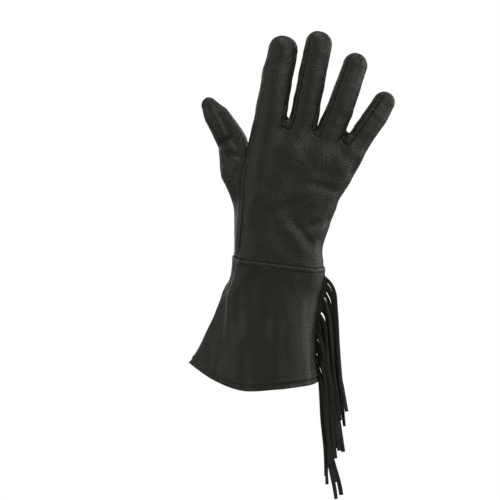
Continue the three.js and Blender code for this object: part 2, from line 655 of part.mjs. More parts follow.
function loft(sections) {
  const faces = [[0, 2, 1], [0, 3, 2]];
  for (const n of range(sections.length - 1)) {
    for (const i of range(4)) {
      const [a, b] = [4 * n + i, 4 * n + ((i + 1) % 4)];
      faces.push([a, b, a + 4], [b, b + 4, a + 4]);
    }
  }
  const last = 4 * (sections.length - 1);
  faces.push([last, last + 1, last + 2], [last, last + 2, last + 3]);
  const vertProperties = new Float32Array(sections.flat().flatMap((p) => [p.x, p.y, p.z]));
  return new Manifold(new Mesh({ numProp: 3, vertProperties, triVerts: new Uint32Array(faces.flat()) }));
}

const headCurve = new THREE.CatmullRomCurve3(headSeam);
const headSections = range(CUFF_ROWS + 1).map((n) => {
  const p = headCurve.getPointAt(lerp(0.01, 0.99, n / CUFF_ROWS));
  const y = FRINGE_LEATHER / 2;
  const [inside, outsideX] = [p.x - HEAD_INSIDE, p.x + HEAD_OUTSIDE];
  return [vec(inside, y, p.z), vec(outsideX, y, p.z), vec(outsideX, -y, p.z), vec(inside, -y, p.z)];
});

// How far out a strip lies at a drop below its root.
function stripCentre(n, drop) {
  const share = n / (STRIP_COUNT - 1);
  const root = headCurve.getPointAt(lerp(FRINGE_TOP, FRINGE_BOTTOM, share));
  const z = root.z - drop;
  const hem = headSeam.at(-1);
  const below = Math.max(hem.z - z, 0);
  const pitch = (headSeam[0].z - hem.z) / STRIP_COUNT;
  const spring = lerp(STRIP_SPRING, STRIP_SPRING_LOW, share) * (1 - Math.exp(-drop / STRIP_DROP));
  const stack = STRIP_STACK * Math.min(drop / pitch, STRIP_COUNT - 1 - n);
  const layer = (STRIP_LAYERS[n % STRIP_LAYERS.length] - (STRIP_LAYERS.length - 1) / 2) * LAYER_STEP;
  const wall = headCurve.getPointAt(clamp((headSeam[0].z - z) / (headSeam[0].z - hem.z), 0, 1)).x;
  return vec(
    Math.max(root.x, wall) + HEAD_OUTSIDE + spring + stack + STRIP_LEAN * below,
    layer * smoothstep(drop, 0, 18),
    z,
  );
}

function strip(n) {
  const root = headCurve.getPointAt(lerp(FRINGE_TOP, FRINGE_BOTTOM, n / (STRIP_COUNT - 1)));
  const start = vec(root.x + HEAD_OUTSIDE - 0.5, 0, root.z);
  const drop = STRIP_LENGTH * STRIP_HANG * lerp(1, STRIP_LOW_LENGTH, n / (STRIP_COUNT - 1));
  const drops = range(STRIP_ROWS).map((row) => drop * ((row + 1) / STRIP_ROWS) ** 1.6);
  const centres = [start, ...drops.map((drop) => stripCentre(n, drop))];
  const sections = centres.map((p, i) => {
    const ahead = (centres[i + 1] ?? p).clone().sub(centres[i - 1] ?? p).normalize();
    const wide = i === 0 ? vec(0, 0, 1) : ahead.clone().cross(vec(0, 1, 0)).normalize();
    const thick = ahead.clone().cross(wide);
    const corner = (a, b) =>
      p.clone().addScaledVector(wide, (a * STRIP_WIDTH) / 2).addScaledVector(thick, (b * FRINGE_LEATHER) / 2);
    return [corner(-1, -1), corner(1, -1), corner(1, 1), corner(-1, 1)];
  });
  return loft(sections);
}

const fringe = Manifold.union([loft(headSections), ...range(STRIP_COUNT).map(strip)]);
const { vertProperties, triVerts } = fringe.getMesh();
const triples = (flat) => range(flat.length / 3).map((i) => [...flat.slice(3 * i, 3 * i + 3)]);
addMesh(
  "fringe",
  triples(vertProperties).map((xyz) => vec(...xyz)),
  triples(triVerts),
);

export default group;
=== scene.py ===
# %% [markdown]
# # A fringed leather gauntlet
# This lesson dresses the plain solids of a right-hand gauntlet glove. The real glove is cut from black
# deerskin and sewn from a dozen panels. Each panel is rebuilt here as a fine sheet of leather that lies where
# its solid lies, with its seams, folds and stitches, and the cuff's outer seam gets its fringe.

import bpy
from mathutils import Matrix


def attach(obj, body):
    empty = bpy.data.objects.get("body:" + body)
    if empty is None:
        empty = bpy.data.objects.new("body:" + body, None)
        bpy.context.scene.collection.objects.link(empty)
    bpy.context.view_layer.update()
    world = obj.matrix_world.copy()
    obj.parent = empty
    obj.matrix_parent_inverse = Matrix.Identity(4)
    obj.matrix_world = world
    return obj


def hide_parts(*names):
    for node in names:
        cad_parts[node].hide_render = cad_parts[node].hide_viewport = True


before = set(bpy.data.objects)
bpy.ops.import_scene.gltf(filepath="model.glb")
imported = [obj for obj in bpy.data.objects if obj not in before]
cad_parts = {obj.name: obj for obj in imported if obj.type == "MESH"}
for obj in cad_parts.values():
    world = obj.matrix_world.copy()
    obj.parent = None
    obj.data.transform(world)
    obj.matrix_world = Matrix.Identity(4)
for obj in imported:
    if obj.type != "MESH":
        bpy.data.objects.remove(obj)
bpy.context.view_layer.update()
print("solids:", sorted(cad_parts))

import bpy
import numpy as np
from mathutils import Matrix

# %% [markdown]
# ## Sizes
# All shapes are worked out in millimetres and turned to metres at the very end. The solids were built from
# the same named sizes. Sharing them, and the formulas that read them, keeps a detailed skin on top of a plain
# solid.

# %% Named sizes
MM = 0.001
LEATHER = 1.4
HAND_LENGTH, PALM_WIDTH, PALM_DEPTH = 220.0, 100.0, 36.0
WRIST_WIDTH, WRIST_DEPTH = 85.0, 50.0
FINGER_LENGTH, FINGER_WIDTH, FINGER_DEPTH, WEB_DEPTH = 90.0, 26.0, 21.0, 16.0
CUFF_LENGTH, CUFF_FLARE, CUFF_DEPTH = 121.0, 42.0, 68.0
STRIP_COUNT, STRIP_LENGTH, STRIP_WIDTH, STRIP_LEATHER = 24, 135.0, 4.0, 1.2
print("glove length", HAND_LENGTH + CUFF_LENGTH, "mm, with", STRIP_COUNT, "strips of fringe")

# %% Tables of the hand
DIGIT_COLUMNS = ("x", "z", "set", "length", "root", "mid", "tip", "lean_root", "lean_tip", "curl")
DIGITS = {
    "index": (-0.081, 0.615, 0, 0.9, 1.17, 1.13, 1.03, 8, 14, 0.1),
    "middle": (0.229, 0.595, 0, 1.0, 1.02, 0.99, 0.94, 11, 12, 0.08),
    "ring": (0.499, 0.557, 0, 0.888, 1.02, 0.96, 0.9, 21, 17, 0.1),
    "little": (0.723, 0.5, 0, 0.668, 0.9, 0.87, 0.76, 37, 30, 0.14),
    "thumb": (-0.45, 0.51, 0.38, 0.555, 1.0, 0.9, 0.46, -24, -37, 0.04),
}
DIGITS = {name: dict(zip(DIGIT_COLUMNS, row)) for name, row in DIGITS.items()}
*FINGERS, THUMB = DIGITS.values()
# Each row of the palm: the wrist's or the palm's width and depth, and then as shares its height, where the
# index's and the little finger's ridges lie, and a ridge's width and depth.
PALM_ROWS = [
    (WRIST_WIDTH, WRIST_DEPTH, -0.2, -0.3, 0.3, 0.4, 0.88),
    (WRIST_WIDTH, WRIST_DEPTH, 0.0, -0.3, 0.3, 0.4, 0.88),
    (WRIST_WIDTH, WRIST_DEPTH, 0.06, -0.294, 0.276, 0.4, 0.835),
    (PALM_WIDTH, PALM_DEPTH, 0.18, -0.225, 0.325, 0.328, 1.0),
    (PALM_WIDTH, PALM_DEPTH, 0.29, -0.2, 0.425, 0.32, 0.94),
]
# The ball of the thumb: x, y, z, half width and half depth. Then x and z of the webs and of the seams.
THUMB_BALL = [(-0.24, 0.16, 0.136, 0.55, 0.55), (-0.395, 0.33, 0.41, 0.635, 0.5715)]
WEBS = [(0.085, 0.618), (0.36, 0.57), (0.667, 0.556)]
BACK_THUMB_SEAM = [(-0.383, 0.164), (-0.37, 0.337), (-0.354, 0.39), (-0.32, 0.444)]
PALM_THUMB_SEAM = [(-0.11, 0.227), (-0.13, 0.31), (-0.17, 0.373), (-0.25, 0.43)]
BACK_SEAM_START, PALM_SEAM_START = 158.7, 250.8
THUMB_CROTCH = (-0.287, 0.12, 0.5)
print("digits:", ", ".join(DIGITS))

# %% [markdown]
# ## A hand as one smooth field
# A gloved hand has no edges: the fingers, the ball of the thumb and the webs run softly into each other. That
# could be sculpted, but a field does it in a few lines. Every digit is a chain of round ridges, a number says
# how far a point lies outside a chain, and a soft minimum joins the chains. The skin lies where the joined
# number is zero.


# %% The middle line of a digit
def digit_axis(digit, s):
    """Centre, half width, half depth and the two directions of a digit at shares s of its length.

    The lean grows evenly from root to tip, so the chord to s leans by the mean of the two, and the curl
    pushes the tip towards the palm by the square of s.
    """
    s = np.asarray(s, float)
    length = digit["length"] * FINGER_LENGTH
    lean = np.radians(digit["lean_root"] + (digit["lean_tip"] - digit["lean_root"]) * s)
    chord = (np.radians(digit["lean_root"]) + lean) / 2
    centre = np.stack([
        digit["x"] * PALM_WIDTH + length * s * np.sin(chord),
        digit["set"] * PALM_DEPTH + digit["curl"] * length * s * s,
        digit["z"] * HAND_LENGTH + length * s * np.cos(chord),
    ], -1)
    width = np.interp(s, [0, 0.5, 1], [digit["root"], digit["mid"], digit["tip"]])
    along = np.stack([np.sin(lean), 0 * lean, np.cos(lean)], -1)
    across = np.stack([np.cos(lean), 0 * lean, -np.sin(lean)], -1)
    return centre, width * FINGER_WIDTH / 2, width * FINGER_DEPTH / 2, along, across


def cap_start(digit):
    """The share of a digit's length where its round tip begins: one half width short of the tip."""
    return 1 - digit["tip"] * FINGER_WIDTH / 2 / (digit["length"] * FINGER_LENGTH)


def digit_point(digit, s, cap, angle):
    """A point near a digit's surface: an ellipse round the axis at s, shrunk towards the tip by the cosine of
    cap.

    angle is 0 on the little finger's side, 90 on the back and 270 on the palm. cap runs from 0 to 90.
    """
    centre, wide, deep, along, across = digit_axis(digit, s * cap_start(digit))
    turn, cap = np.radians(angle), np.radians(cap)
    out = centre + across * (wide * np.cos(cap) * np.cos(turn))[..., None]
    out = out + along * (wide * np.sin(cap))[..., None]
    out[..., 1] -= deep * np.cos(cap) * np.sin(turn)
    return out


print("index fingertip at", digit_axis(FINGERS[0], 1.0)[0].round(1), "mm")


# %% The chains of ridges
def digit_nodes(digit):
    """Four round sections along a digit, each a row of x, y, z, half width and half depth."""
    centre, wide, deep, _, _ = digit_axis(digit, np.array([0, 0.33, 0.67, 1]) * cap_start(digit))
    return np.column_stack([centre, wide, deep])


CHAINS = []
for number, finger in enumerate(FINGERS):
    rows = []
    for width, depth, z, left, right, wide, deep in PALM_ROWS:
        x = (left + (right - left) * number / 3) * width
        rows.append([x, 0, z * HAND_LENGTH, wide * width / 2, deep * depth / 2])
    CHAINS.append(np.vstack([rows, digit_nodes(finger)]))
ball = THUMB_BALL * np.array([PALM_WIDTH, PALM_DEPTH, HAND_LENGTH, FINGER_WIDTH, FINGER_WIDTH])
CHAINS.append(np.vstack([ball, digit_nodes(THUMB)]))
for x, z in WEBS:
    wide = 0.2 * FINGER_WIDTH
    top = [x * PALM_WIDTH, 0, z * HAND_LENGTH - wide, wide, WEB_DEPTH / 2]
    foot = [0.9 * top[0], 0, top[2] - FINGER_WIDTH, 1.6 * wide, WEB_DEPTH / 2]
    CHAINS.append(np.array([top, foot]))
print(len(CHAINS), "chains with", sum(len(chain) - 1 for chain in CHAINS), "ridges")


# %% The field and its skin
def outside(p):
    """How far points lie outside the hand: minus k times the log of the sum of exp(-distance / k) over the
    chains.

    A chain's distance is its nearest ridge's: the distance from the axis less the half width, with depth
    scaled so that the ridge is elliptical. k is 5 mm in the palm and 1.2 mm in the fingers.
    """
    chains = []
    for chain in CHAINS:
        nearest = np.full(p.shape[:-1], 1e9)
        for a, b in zip(chain[:-1], chain[1:]):
            ux, uz = b[0] - a[0], b[2] - a[2]
            t = ((p[..., 0] - a[0]) * ux + (p[..., 2] - a[2]) * uz) / (ux * ux + uz * uz)
            t = np.clip(t, 0, 1)
            wide = a[3] + (b[3] - a[3]) * t
            dy = (p[..., 1] - a[1] - (b[1] - a[1]) * t) * wide / (a[4] + (b[4] - a[4]) * t)
            dx, dz = p[..., 0] - a[0] - ux * t, p[..., 2] - a[2] - uz * t
            nearest = np.minimum(nearest, np.sqrt(dx * dx + dy * dy + dz * dz) - wide)
        chains.append(nearest)
    least = np.min(chains, axis=0)
    height = np.clip((p[..., 2] - 0.595 * HAND_LENGTH + 0.17 * p[..., 0]) / FINGER_WIDTH + 1, 0, 1)
    k = 5 + (1.2 - 5) * height * height * (3 - 2 * height)
    return least - k * np.log(np.sum([np.exp((least - nearest) / k) for nearest in chains], axis=0))


def slope(p):
    """The field's slope by central differences, which points straight out of the leather."""
    steps = 0.05 * np.eye(3)
    return np.stack([(outside(p + step) - outside(p - step)) / 0.1 for step in steps], -1)


def on_skin(p, rounds=6):
    """Moves points onto the skin: each round subtracts the field times its slope over the slope's square."""
    p = np.array(p, float)
    for _ in range(rounds):
        steep = slope(p)
        size = np.maximum(np.sum(steep * steep, -1), 0.2)
        p -= steep * (outside(p) / size)[..., None]
    return p


print("wrist is", round(float(on_skin(np.array([60.0, 0, 0]))[0] * 2)), "mm wide")

# %% [markdown]
# ## Panels as grids
# A glove maker cuts flat panels and sews their edges together. Here each panel is a grid of points, about 1
# mm fine, with its edges on the seams. Its inside comes from its four borders: a Coons patch blends them, and
# the field pulls the blend onto the skin. The grain is left to the material.

# %% Cells of the grids
FINGER_COLUMNS, GAP_COLUMNS = 24, 12
FINGER_ROWS, CAP_ROWS = 80, 18
LOW_ROWS, HIGH_ROWS = 100, 34
TONGUE_ROWS, LINK_ROWS = 24, 14
FOURCHETTE_COLUMNS = 18
THUMB_COLUMNS, GUSSET_COLUMNS = 64, 40
CUFF_ROWS = 112
DIGIT_ROWS = FINGER_ROWS + CAP_ROWS
print("a finger has", DIGIT_ROWS, "rows of cells")


def smooth(x, low, high):
    """0 below low, 1 above high and a smooth cubic step between them."""
    t = np.clip((np.asarray(x, float) - low) / (high - low), 0, 1)
    return t * t * (3 - 2 * t)


def mix(a, b, t):
    """Blends two points or curves by t, which may be a number or one value for each point."""
    t = np.asarray(t, float)
    return a + (b - a) * (t[..., None] if t.ndim else t)


def unit(v):
    """Directions made one long: divided by the root of the sum of their squares."""
    return v / np.linalg.norm(v, axis=-1, keepdims=True)


def even_steps(knots, steps):
    """Even steps along a centripetal Catmull-Rom curve through the knots.

    Each stretch is a cubic whose end slopes come from the neighbouring knots, with time between two knots
    taken as the square root of their distance. The curve is then read at equal lengths.
    """
    knots = np.asarray(knots, float)
    knots = np.vstack([2 * knots[0] - knots[1], knots, 2 * knots[-1] - knots[-2]])
    gap = np.sqrt(np.linalg.norm(np.diff(knots, axis=0), axis=1))[:, None]
    pace = np.diff(knots, axis=0) / gap
    bend = pace[1:] + pace[:-1] - (knots[2:] - knots[:-2]) / (gap[1:] + gap[:-1])
    t = np.linspace(0, 1, 60)[:, None]
    fine = []
    for i in range(len(knots) - 3):
        a, b, step = knots[i + 1], knots[i + 2], gap[i + 1]
        first, last = bend[i] * step, bend[i + 1] * step
        between = a * (2 * t**3 - 3 * t**2 + 1) + b * (3 * t**2 - 2 * t**3)
        fine.append(between + first * (t**3 - 2 * t**2 + t) + last * (t**3 - t**2))
    fine = np.vstack(fine)
    travel = np.concatenate([[0], np.cumsum(np.linalg.norm(np.diff(fine, axis=0), axis=1))])
    where = np.asarray(steps) * travel[-1]
    return np.stack([np.interp(where, travel, fine[:, n]) for n in range(knots.shape[1])], -1)


def patch(left, right, bottom, top, easy=None):
    """A sheet on the skin between four borders: both blends of facing borders, less the blend of the corners.

    Where the left border is crooked, easy is a smoother one with the same ends. The sheet follows that, and
    what the border has on top dies off within a few columns.
    """
    easy = left if easy is None else easy
    u = np.linspace(0, 1, len(bottom))[None, :]
    v = np.linspace(0, 1, len(left))[:, None]
    rest = (left - easy)[:, None] * ((1 - u) ** 10)[..., None]
    sides = mix(easy[:, None], right[:, None], u + 0 * v) + rest
    ends = mix(bottom[None, :], top[None, :], v + 0 * u)
    corners = mix(mix(left[0], right[0], u + 0 * v), mix(left[-1], right[-1], u + 0 * v), v + 0 * u)
    sheet = on_skin(sides + ends - corners)
    sheet[:, 0], sheet[:, -1], sheet[0], sheet[-1] = left, right, bottom, top
    return sheet


def skin_line(start, end, cells):
    """The straight line between two points of the skin, moved onto the skin."""
    line = on_skin(mix(start, end, np.linspace(0, 1, cells + 1)))
    line[0], line[-1] = start, end
    return line


def relax(sheet, rounds=90):
    """Lets a sheet bridge narrow hollows as stiff leather does.

    Each round halves every bend. The share fades to nothing at the borders, and further in at the knuckles,
    so that no crease forms there.
    """
    height, width = sheet.shape[0] - 1, sheet.shape[1] - 1
    rows, columns = np.arange(1, height)[:, None, None], np.arange(1, width)[None, :, None]
    share = smooth(rows, 0, 8) * smooth(height - rows, 2, 24)
    share = share * smooth(columns, 0, 8) * smooth(width - columns, 0, 8)
    for _ in range(rounds):
        around = sheet[:-2, 1:-1] + sheet[2:, 1:-1] + sheet[1:-1, :-2] + sheet[1:-1, 2:]
        sheet[1:-1, 1:-1] += share * (around / 4 - sheet[1:-1, 1:-1]) / 2
    return sheet


# %% The digits' sheets
def digit_sheet(digit, start, end, columns, lift=0):
    """Rows of points up a digit from its root to the pole of its tip, between two angles round it.

    An angle is one number, or one for each row. lift is the share of the digit's length by which the middle
    of the root's row is raised, as a web raises it.
    """
    row = np.arange(DIGIT_ROWS + 1)[:, None]
    across = np.linspace(0, 1, columns + 1)[None, :]
    start, end = np.reshape(start, (-1, 1)), np.reshape(end, (-1, 1))
    s = np.minimum(row / FINGER_ROWS, 1) + 0 * across
    s = s + lift * (1 - s) * np.sin(np.pi * across) ** 0.5
    cap = np.maximum(row - FINGER_ROWS, 0) / CAP_ROWS * 90 + 0 * across
    sheet = on_skin(digit_point(digit, s, cap, start + (end - start) * across + 0 * row))
    sheet[-1] = sheet[-1, 0]
    return sheet


# The seams round each finger, in degrees from the little finger's side by the back: back left, back right,
# palm left and palm right. The index's left side and the little finger's right side have one seam each. Near
# the root the back right seam swings towards the middle of the finger by SWING degrees, to leave room for the
# foot of the crotch.
SWING = (22, 26, 20)
seam_angles = [[180, 20, 180, 320], [136, 16, 216, 316], [132, 14, 212, 312], [116, -24, 196, 336]]
for angles, swing in zip(seam_angles, SWING):
    angles[1] = angles[1] + swing * (1 - smooth(np.arange(DIGIT_ROWS + 1) / FINGER_ROWS, 0, 0.45))
backs = [digit_sheet(f, a[0], a[1], FINGER_COLUMNS) for f, a in zip(FINGERS, seam_angles)]
fronts = [digit_sheet(f, a[2], a[3], FINGER_COLUMNS) for f, a in zip(FINGERS, seam_angles)]
print("finger sheets of", backs[0].shape[:2], "points")


# %% [markdown]
# The seam round the foot of a crotch is a U. It dips below the roots of its fingers by a share of the hand's
# length.


# %% The knuckle rows and the crotch seams
BACK_DIPS, PALM_DIPS = (0.036, 0.044, 0.026), (0.014, 0.014, 0.014)


def crotch_seam(sheets, i, dip):
    """The seam between two fingers' roots: straight across, less the dip times a power of the way's sine."""
    t = np.linspace(0, 1, GAP_COLUMNS + 1)
    seam = mix(sheets[i][0, -1], sheets[i + 1][0, 0], t)
    seam[:, 2] -= dip * HAND_LENGTH * np.sin(np.pi * t) ** 0.45
    seam[1:-1] = on_skin(seam[1:-1])
    return seam


back_crotches = [crotch_seam(backs, i, dip) for i, dip in enumerate(BACK_DIPS)]
palm_crotches = [crotch_seam(fronts, i, dip) for i, dip in enumerate(PALM_DIPS)]


def knuckle_row(sheets, crotches):
    """The fingers' roots and the crotch seams between them, as one curve."""
    parts = [sheets[0][0]]
    for seam, sheet in zip(crotches, sheets[1:]):
        parts += [seam[1:-1], sheet[0]]
    return np.vstack(parts)


print("knuckle row:", len(knuckle_row(backs, back_crotches)), "points")


# %% Points of the wrist seam and of the seams across the hand
def wrist_plane(x, y):
    """The height of the wrist seam's tilted plane."""
    return 0.3 - 0.118 * x + 0.13 * y


def on_wrist(angle):
    """Where the skin meets the wrist seam's plane, at angles from the little finger's side by the back."""
    turn = np.radians(np.asarray(angle, float))
    p = np.stack([WRIST_WIDTH / 2 * np.cos(turn), -WRIST_DEPTH / 2 * np.sin(turn), 0 * turn], -1)
    for _ in range(6):
        p[:, 2] = wrist_plane(p[:, 0], p[:, 1])
        p = on_skin(p, 4)
    p[:, 2] = wrist_plane(p[:, 0], p[:, 1])
    return p


def seen_at(x, z, side):
    """The skin's points at x and z, seen from the back (side -1) or the palm (1), by halving the way out."""
    near, far = np.zeros_like(x), np.full_like(x, 3 * PALM_DEPTH)
    for _ in range(22):
        middle = (near + far) / 2
        within = outside(np.stack([x, side * middle, z], -1)) < 0
        near, far = np.where(within, middle, near), np.where(within, far, middle)
    return np.stack([x, side * near, z], -1)


def hand_seam(rows, side, cells, start):
    """A seam across the hand in even steps, from its own point of the wrist seam."""
    knots = np.vstack([start[[0, 2]], np.array(rows) * [PALM_WIDTH, HAND_LENGTH]])
    steps = even_steps(knots, np.linspace(0, 1, cells + 1))
    seam = seen_at(steps[:, 0], steps[:, 1], side)
    seam[0] = start
    return seam


WRIST_COLUMNS = 4 * FINGER_COLUMNS + 3 * GAP_COLUMNS
THENAR_COLUMNS = THUMB_COLUMNS - GUSSET_COLUMNS
wrist = on_wrist(np.concatenate([
    np.linspace(0, BACK_SEAM_START, WRIST_COLUMNS, endpoint=False),
    np.linspace(BACK_SEAM_START, 360 - BACK_SEAM_START, GUSSET_COLUMNS, endpoint=False),
    np.linspace(360 - BACK_SEAM_START, PALM_SEAM_START, THENAR_COLUMNS, endpoint=False),
    np.linspace(PALM_SEAM_START, 360, WRIST_COLUMNS + 1),
]))
back_wrist = wrist[: WRIST_COLUMNS + 1][::-1]
thumb_wrist = wrist[WRIST_COLUMNS : WRIST_COLUMNS + THUMB_COLUMNS + 1]
palm_wrist = wrist[WRIST_COLUMNS + THUMB_COLUMNS :]
print("wrist seam runs", round(float(np.linalg.norm(np.diff(wrist, axis=0), axis=1).sum())), "mm round")

# %% The seams of the hand
back_thumb = hand_seam(BACK_THUMB_SEAM, -1, LOW_ROWS, back_wrist[0])
palm_thumb = hand_seam(PALM_THUMB_SEAM, 1, LOW_ROWS - TONGUE_ROWS, palm_wrist[0])
crotch = np.array(THUMB_CROTCH) * [PALM_WIDTH, PALM_DEPTH, HAND_LENGTH]
turns = [palm_thumb[-1], mix(crotch, palm_thumb[-1], 0.33), mix(crotch, back_thumb[-1], 0.33), back_thumb[-1]]
tongue_foot = on_skin(even_steps(turns, np.linspace(0, 1, TONGUE_ROWS + 1)))
tongue_foot[0], tongue_foot[-1] = palm_thumb[-1], back_thumb[-1]
index_foot, little_foot = backs[0][0, 0], backs[3][0, -1]
upper_seam = skin_line(back_thumb[-1], index_foot, HIGH_ROWS)
outer_seam = skin_line(wrist[0], little_foot, LOW_ROWS + HIGH_ROWS)
print("index root at", index_foot.round(1), "mm, little root at", little_foot.round(1), "mm")

# %% The hand's panels
back_hand = patch(
    np.vstack([back_thumb, upper_seam[1:]]), outer_seam, back_wrist, knuckle_row(backs, back_crotches)
)
rise = mix(palm_thumb[-1], index_foot, np.linspace(0, 1, TONGUE_ROWS + HIGH_ROWS + 1))
palm_hand = patch(
    np.vstack([palm_thumb, tongue_foot[1:], upper_seam[1:]]),
    outer_seam,
    palm_wrist,
    knuckle_row(fronts, palm_crotches),
    np.vstack([palm_thumb, rise[1:]]),
)
back_hand, palm_hand = relax(back_hand), relax(palm_hand)
print("back of the hand:", back_hand.shape[:2], "points")

# %% [markdown]
# The thumb has an outer piece, and the palm panel sends up a tongue that lines its inner side. The outer
# piece runs down over the ball of the thumb to the wrist seam, which gives this kind of glove its roomy
# thumb.

# %% The thumb
thumb_outer = digit_sheet(THUMB, 54, 294, THUMB_COLUMNS)
thumb_inner = digit_sheet(THUMB, 294, 414, TONGUE_ROWS)
thumb_inner[:, -1], thumb_inner[:, 0] = thumb_outer[:, 0], thumb_outer[:, -1]
link_back = skin_line(back_thumb[-1], thumb_outer[0, 0], LINK_ROWS)
link_palm = skin_line(palm_thumb[-1], thumb_outer[0, -1], LINK_ROWS)
thumb_root = patch(
    np.vstack([back_thumb, link_back[1:]]),
    np.vstack([palm_thumb, np.repeat(palm_thumb[-1:], TONGUE_ROWS, 0), link_palm[1:]]),
    thumb_wrist,
    thumb_outer[0],
)
thumb_root = relax(thumb_root, 40)
tongue_base = patch(link_palm, link_back, tongue_foot, thumb_inner[0])
print("thumb:", thumb_outer.shape[:2], "points")


# %% [markdown]
# A fourchette is the narrow strip between two fingers. It goes down the side of one finger, over the web and
# up the side of the next, so that a finger is a box with four walls and not a flat bag.


# %% The fourchettes
WEB_LIFT = 0.13


def fourchette(i):
    """One strip's grid: a side of each finger, with the bridge over the web between them."""
    near, far = seam_angles[i], seam_angles[i + 1]
    near = digit_sheet(FINGERS[i], near[1], near[3] - 360, FOURCHETTE_COLUMNS, WEB_LIFT)
    far = digit_sheet(FINGERS[i + 1], far[0], far[2], FOURCHETTE_COLUMNS, WEB_LIFT)
    near[:, 0], near[:, -1] = backs[i][:, -1], fronts[i][:, -1]
    far[:, 0], far[:, -1] = backs[i + 1][:, 0], fronts[i + 1][:, 0]
    back, palm = back_crotches[i][1:-1], palm_crotches[i][1:-1]
    across = np.linspace(0, 1, FOURCHETTE_COLUMNS + 1) + np.zeros((len(back), 1))
    bridge = mix(back[:, None], palm[:, None], across)
    bridge[..., 2] += (WEBS[i][1] * HAND_LENGTH - bridge[..., 2]) * np.sin(np.pi * across) ** 0.5
    bridge = on_skin(bridge)
    bridge[:, 0], bridge[:, -1] = back, palm
    return np.concatenate([near[::-1], bridge, far])


fourchettes = [fourchette(i) for i in range(3)]
print("fourchettes:", fourchettes[0].shape[:2], "points each")

# %% [markdown]
# ## The cuff
# The gauntlet cuff is a wide cone, and a gusset folds in beside the thumb's side. Each section of the cuff is
# a closed curve through twelve knots: a round outer part on the little finger's side, then the ridge, the
# valley and the edge of the gusset, and the same again on the palm.

# %% Tables of the cuff
# Rows from the wrist seam to the hem: where along the cuff, the outer side as a share of the wrist's width,
# the depth as a share of the hem's, and then x and y of ridge, valley and edge, as shares of the flare and of
# the half depth.
CUFF_ROWS_TABLE = np.array([
    [0, 0.5, 0.74, -0.08, -0.6, 0, -0.3, 0.02, 0],
    [0.2, 0.458, 0.77, 0.01, -0.6, 0.04, -0.22, 0.07, 0.1],
    [0.42, 0.42, 0.84, 0.02, -0.6, 0.15, -0.12, 0.29, 0.2],
    [0.62, 0.398, 0.91, -0.03, -0.68, 0.25, -0.22, 0.49, 0.2],
    [0.82, 0.4, 0.96, -0.12, -0.76, 0.36, -0.4, 0.72, 0.12],
    [1, 0.44, 1, -0.2, -0.84, 0.46, -0.52, 1, 0],
])
HEM_DROP = np.array([0.935, 0.955, 0.972, 0.99, 1.0, 0.92, 0.795])
WRIST_BLEND = 0.3
print("cuff sections in the table:", len(CUFF_ROWS_TABLE))


# %% The cuff's sections
def closed_curve(knots, at):
    """A closed uniform Catmull-Rom curve through rows of knots (rows, knots, 3), at places given in knots."""
    i = np.floor(at).astype(int)
    t = (at - i)[None, :, None]
    pick = [knots[:, (i + n - 1) % knots.shape[1]] for n in range(4)]
    weights = (-t + 2 * t**2 - t**3, 2 - 5 * t**2 + 3 * t**3, t + 4 * t**2 - 3 * t**3, t**3 - t**2)
    return sum(weight * knot for weight, knot in zip(weights, pick)) / 2


at = np.linspace(0, 1, CUFF_ROWS + 1)
table = np.stack([np.interp(at, CUFF_ROWS_TABLE[:, 0], values) for values in CUFF_ROWS_TABLE.T], -1)
window = np.hanning(17)
padded = np.vstack([2 * table[0] - table[8:0:-1], table, 2 * table[-1] - table[-2:-10:-1]])
table = np.stack([np.convolve(values, window / window.sum(), "valid") for values in padded.T], -1)
outer, half_depth = table[:, 1] * WRIST_WIDTH, table[:, 2] * CUFF_DEPTH / 2
turns = np.radians([0, 32, 64, 96])
knots = np.zeros((CUFF_ROWS + 1, 12, 3))
knots[:, :4, 0] = outer[:, None] * np.cos(turns)
knots[:, :4, 1] = -half_depth[:, None] * np.sin(turns)
knots[:, 4:7, 0] = -WRIST_WIDTH / 2 - table[:, 3::2] * CUFF_FLARE
knots[:, 4:7, 1] = table[:, 4::2] * half_depth[:, None]
knots[:, 7:] = knots[:, 5:0:-1] * [1, -1, 1]
knots[:, :, 2] = -CUFF_LENGTH * np.concatenate([HEM_DROP, HEM_DROP[5:0:-1]])
place = np.concatenate([
    np.linspace(0, 5, WRIST_COLUMNS, endpoint=False),
    np.linspace(5, 7, GUSSET_COLUMNS, endpoint=False),
    np.linspace(7, 12, THENAR_COLUMNS + WRIST_COLUMNS, endpoint=False),
])
ring = closed_curve(knots, place)
own = smooth(at, 0, WRIST_BLEND)[:, None, None]
cuff = np.empty_like(ring)
cuff[..., :2] = wrist[None, :-1, :2] * (1 - own) + ring[..., :2] * own
cuff[..., 2] = wrist[None, :-1, 2] * (1 - at[:, None]) + ring[..., 2] * at[:, None]
cuff = np.concatenate([cuff, cuff[:, :1]], 1)
BACK_VALLEY, PALM_VALLEY = WRIST_COLUMNS, WRIST_COLUMNS + GUSSET_COLUMNS
print("cuff:", cuff.shape[:2], "points")

# %% [markdown]
# ## Relief
# Sewn leather is never smooth. Each seam pulls it down into a groove with a soft roll on both sides, small
# puckers run out of the stitches, and the hide keeps folds where the hand has bent it. All of that is one
# height for each point, along the way out of the leather. Neighbours read the same height on their seam, so
# they still meet.


# %% Waves for lumps and folds
def waves(p, size, seed, stretch=(1, 1, 1)):
    """Smooth random lumps of about one size: a sum of sine waves in random directions, about -1 to 1.

    stretch makes the lumps longer along an axis. The same seed always draws the same lumps.
    """
    draw = np.random.default_rng(seed)
    directions = unit(draw.normal(size=(16, 3)))
    turns = directions * draw.uniform(0.7, 1.4, (16, 1)) * 2 * np.pi / (size * np.array(stretch))
    return np.sin(p @ turns.T + draw.uniform(0, 2 * np.pi, 16)).sum(-1) / 5.6


def bell(x, width):
    """1 in the middle and about a third at one width away: exp of minus the square."""
    return np.exp(-((x / width) ** 2))


print("a lump is", waves(on_wrist([90]), 32, 11).round(2), "high at the wrist's back")


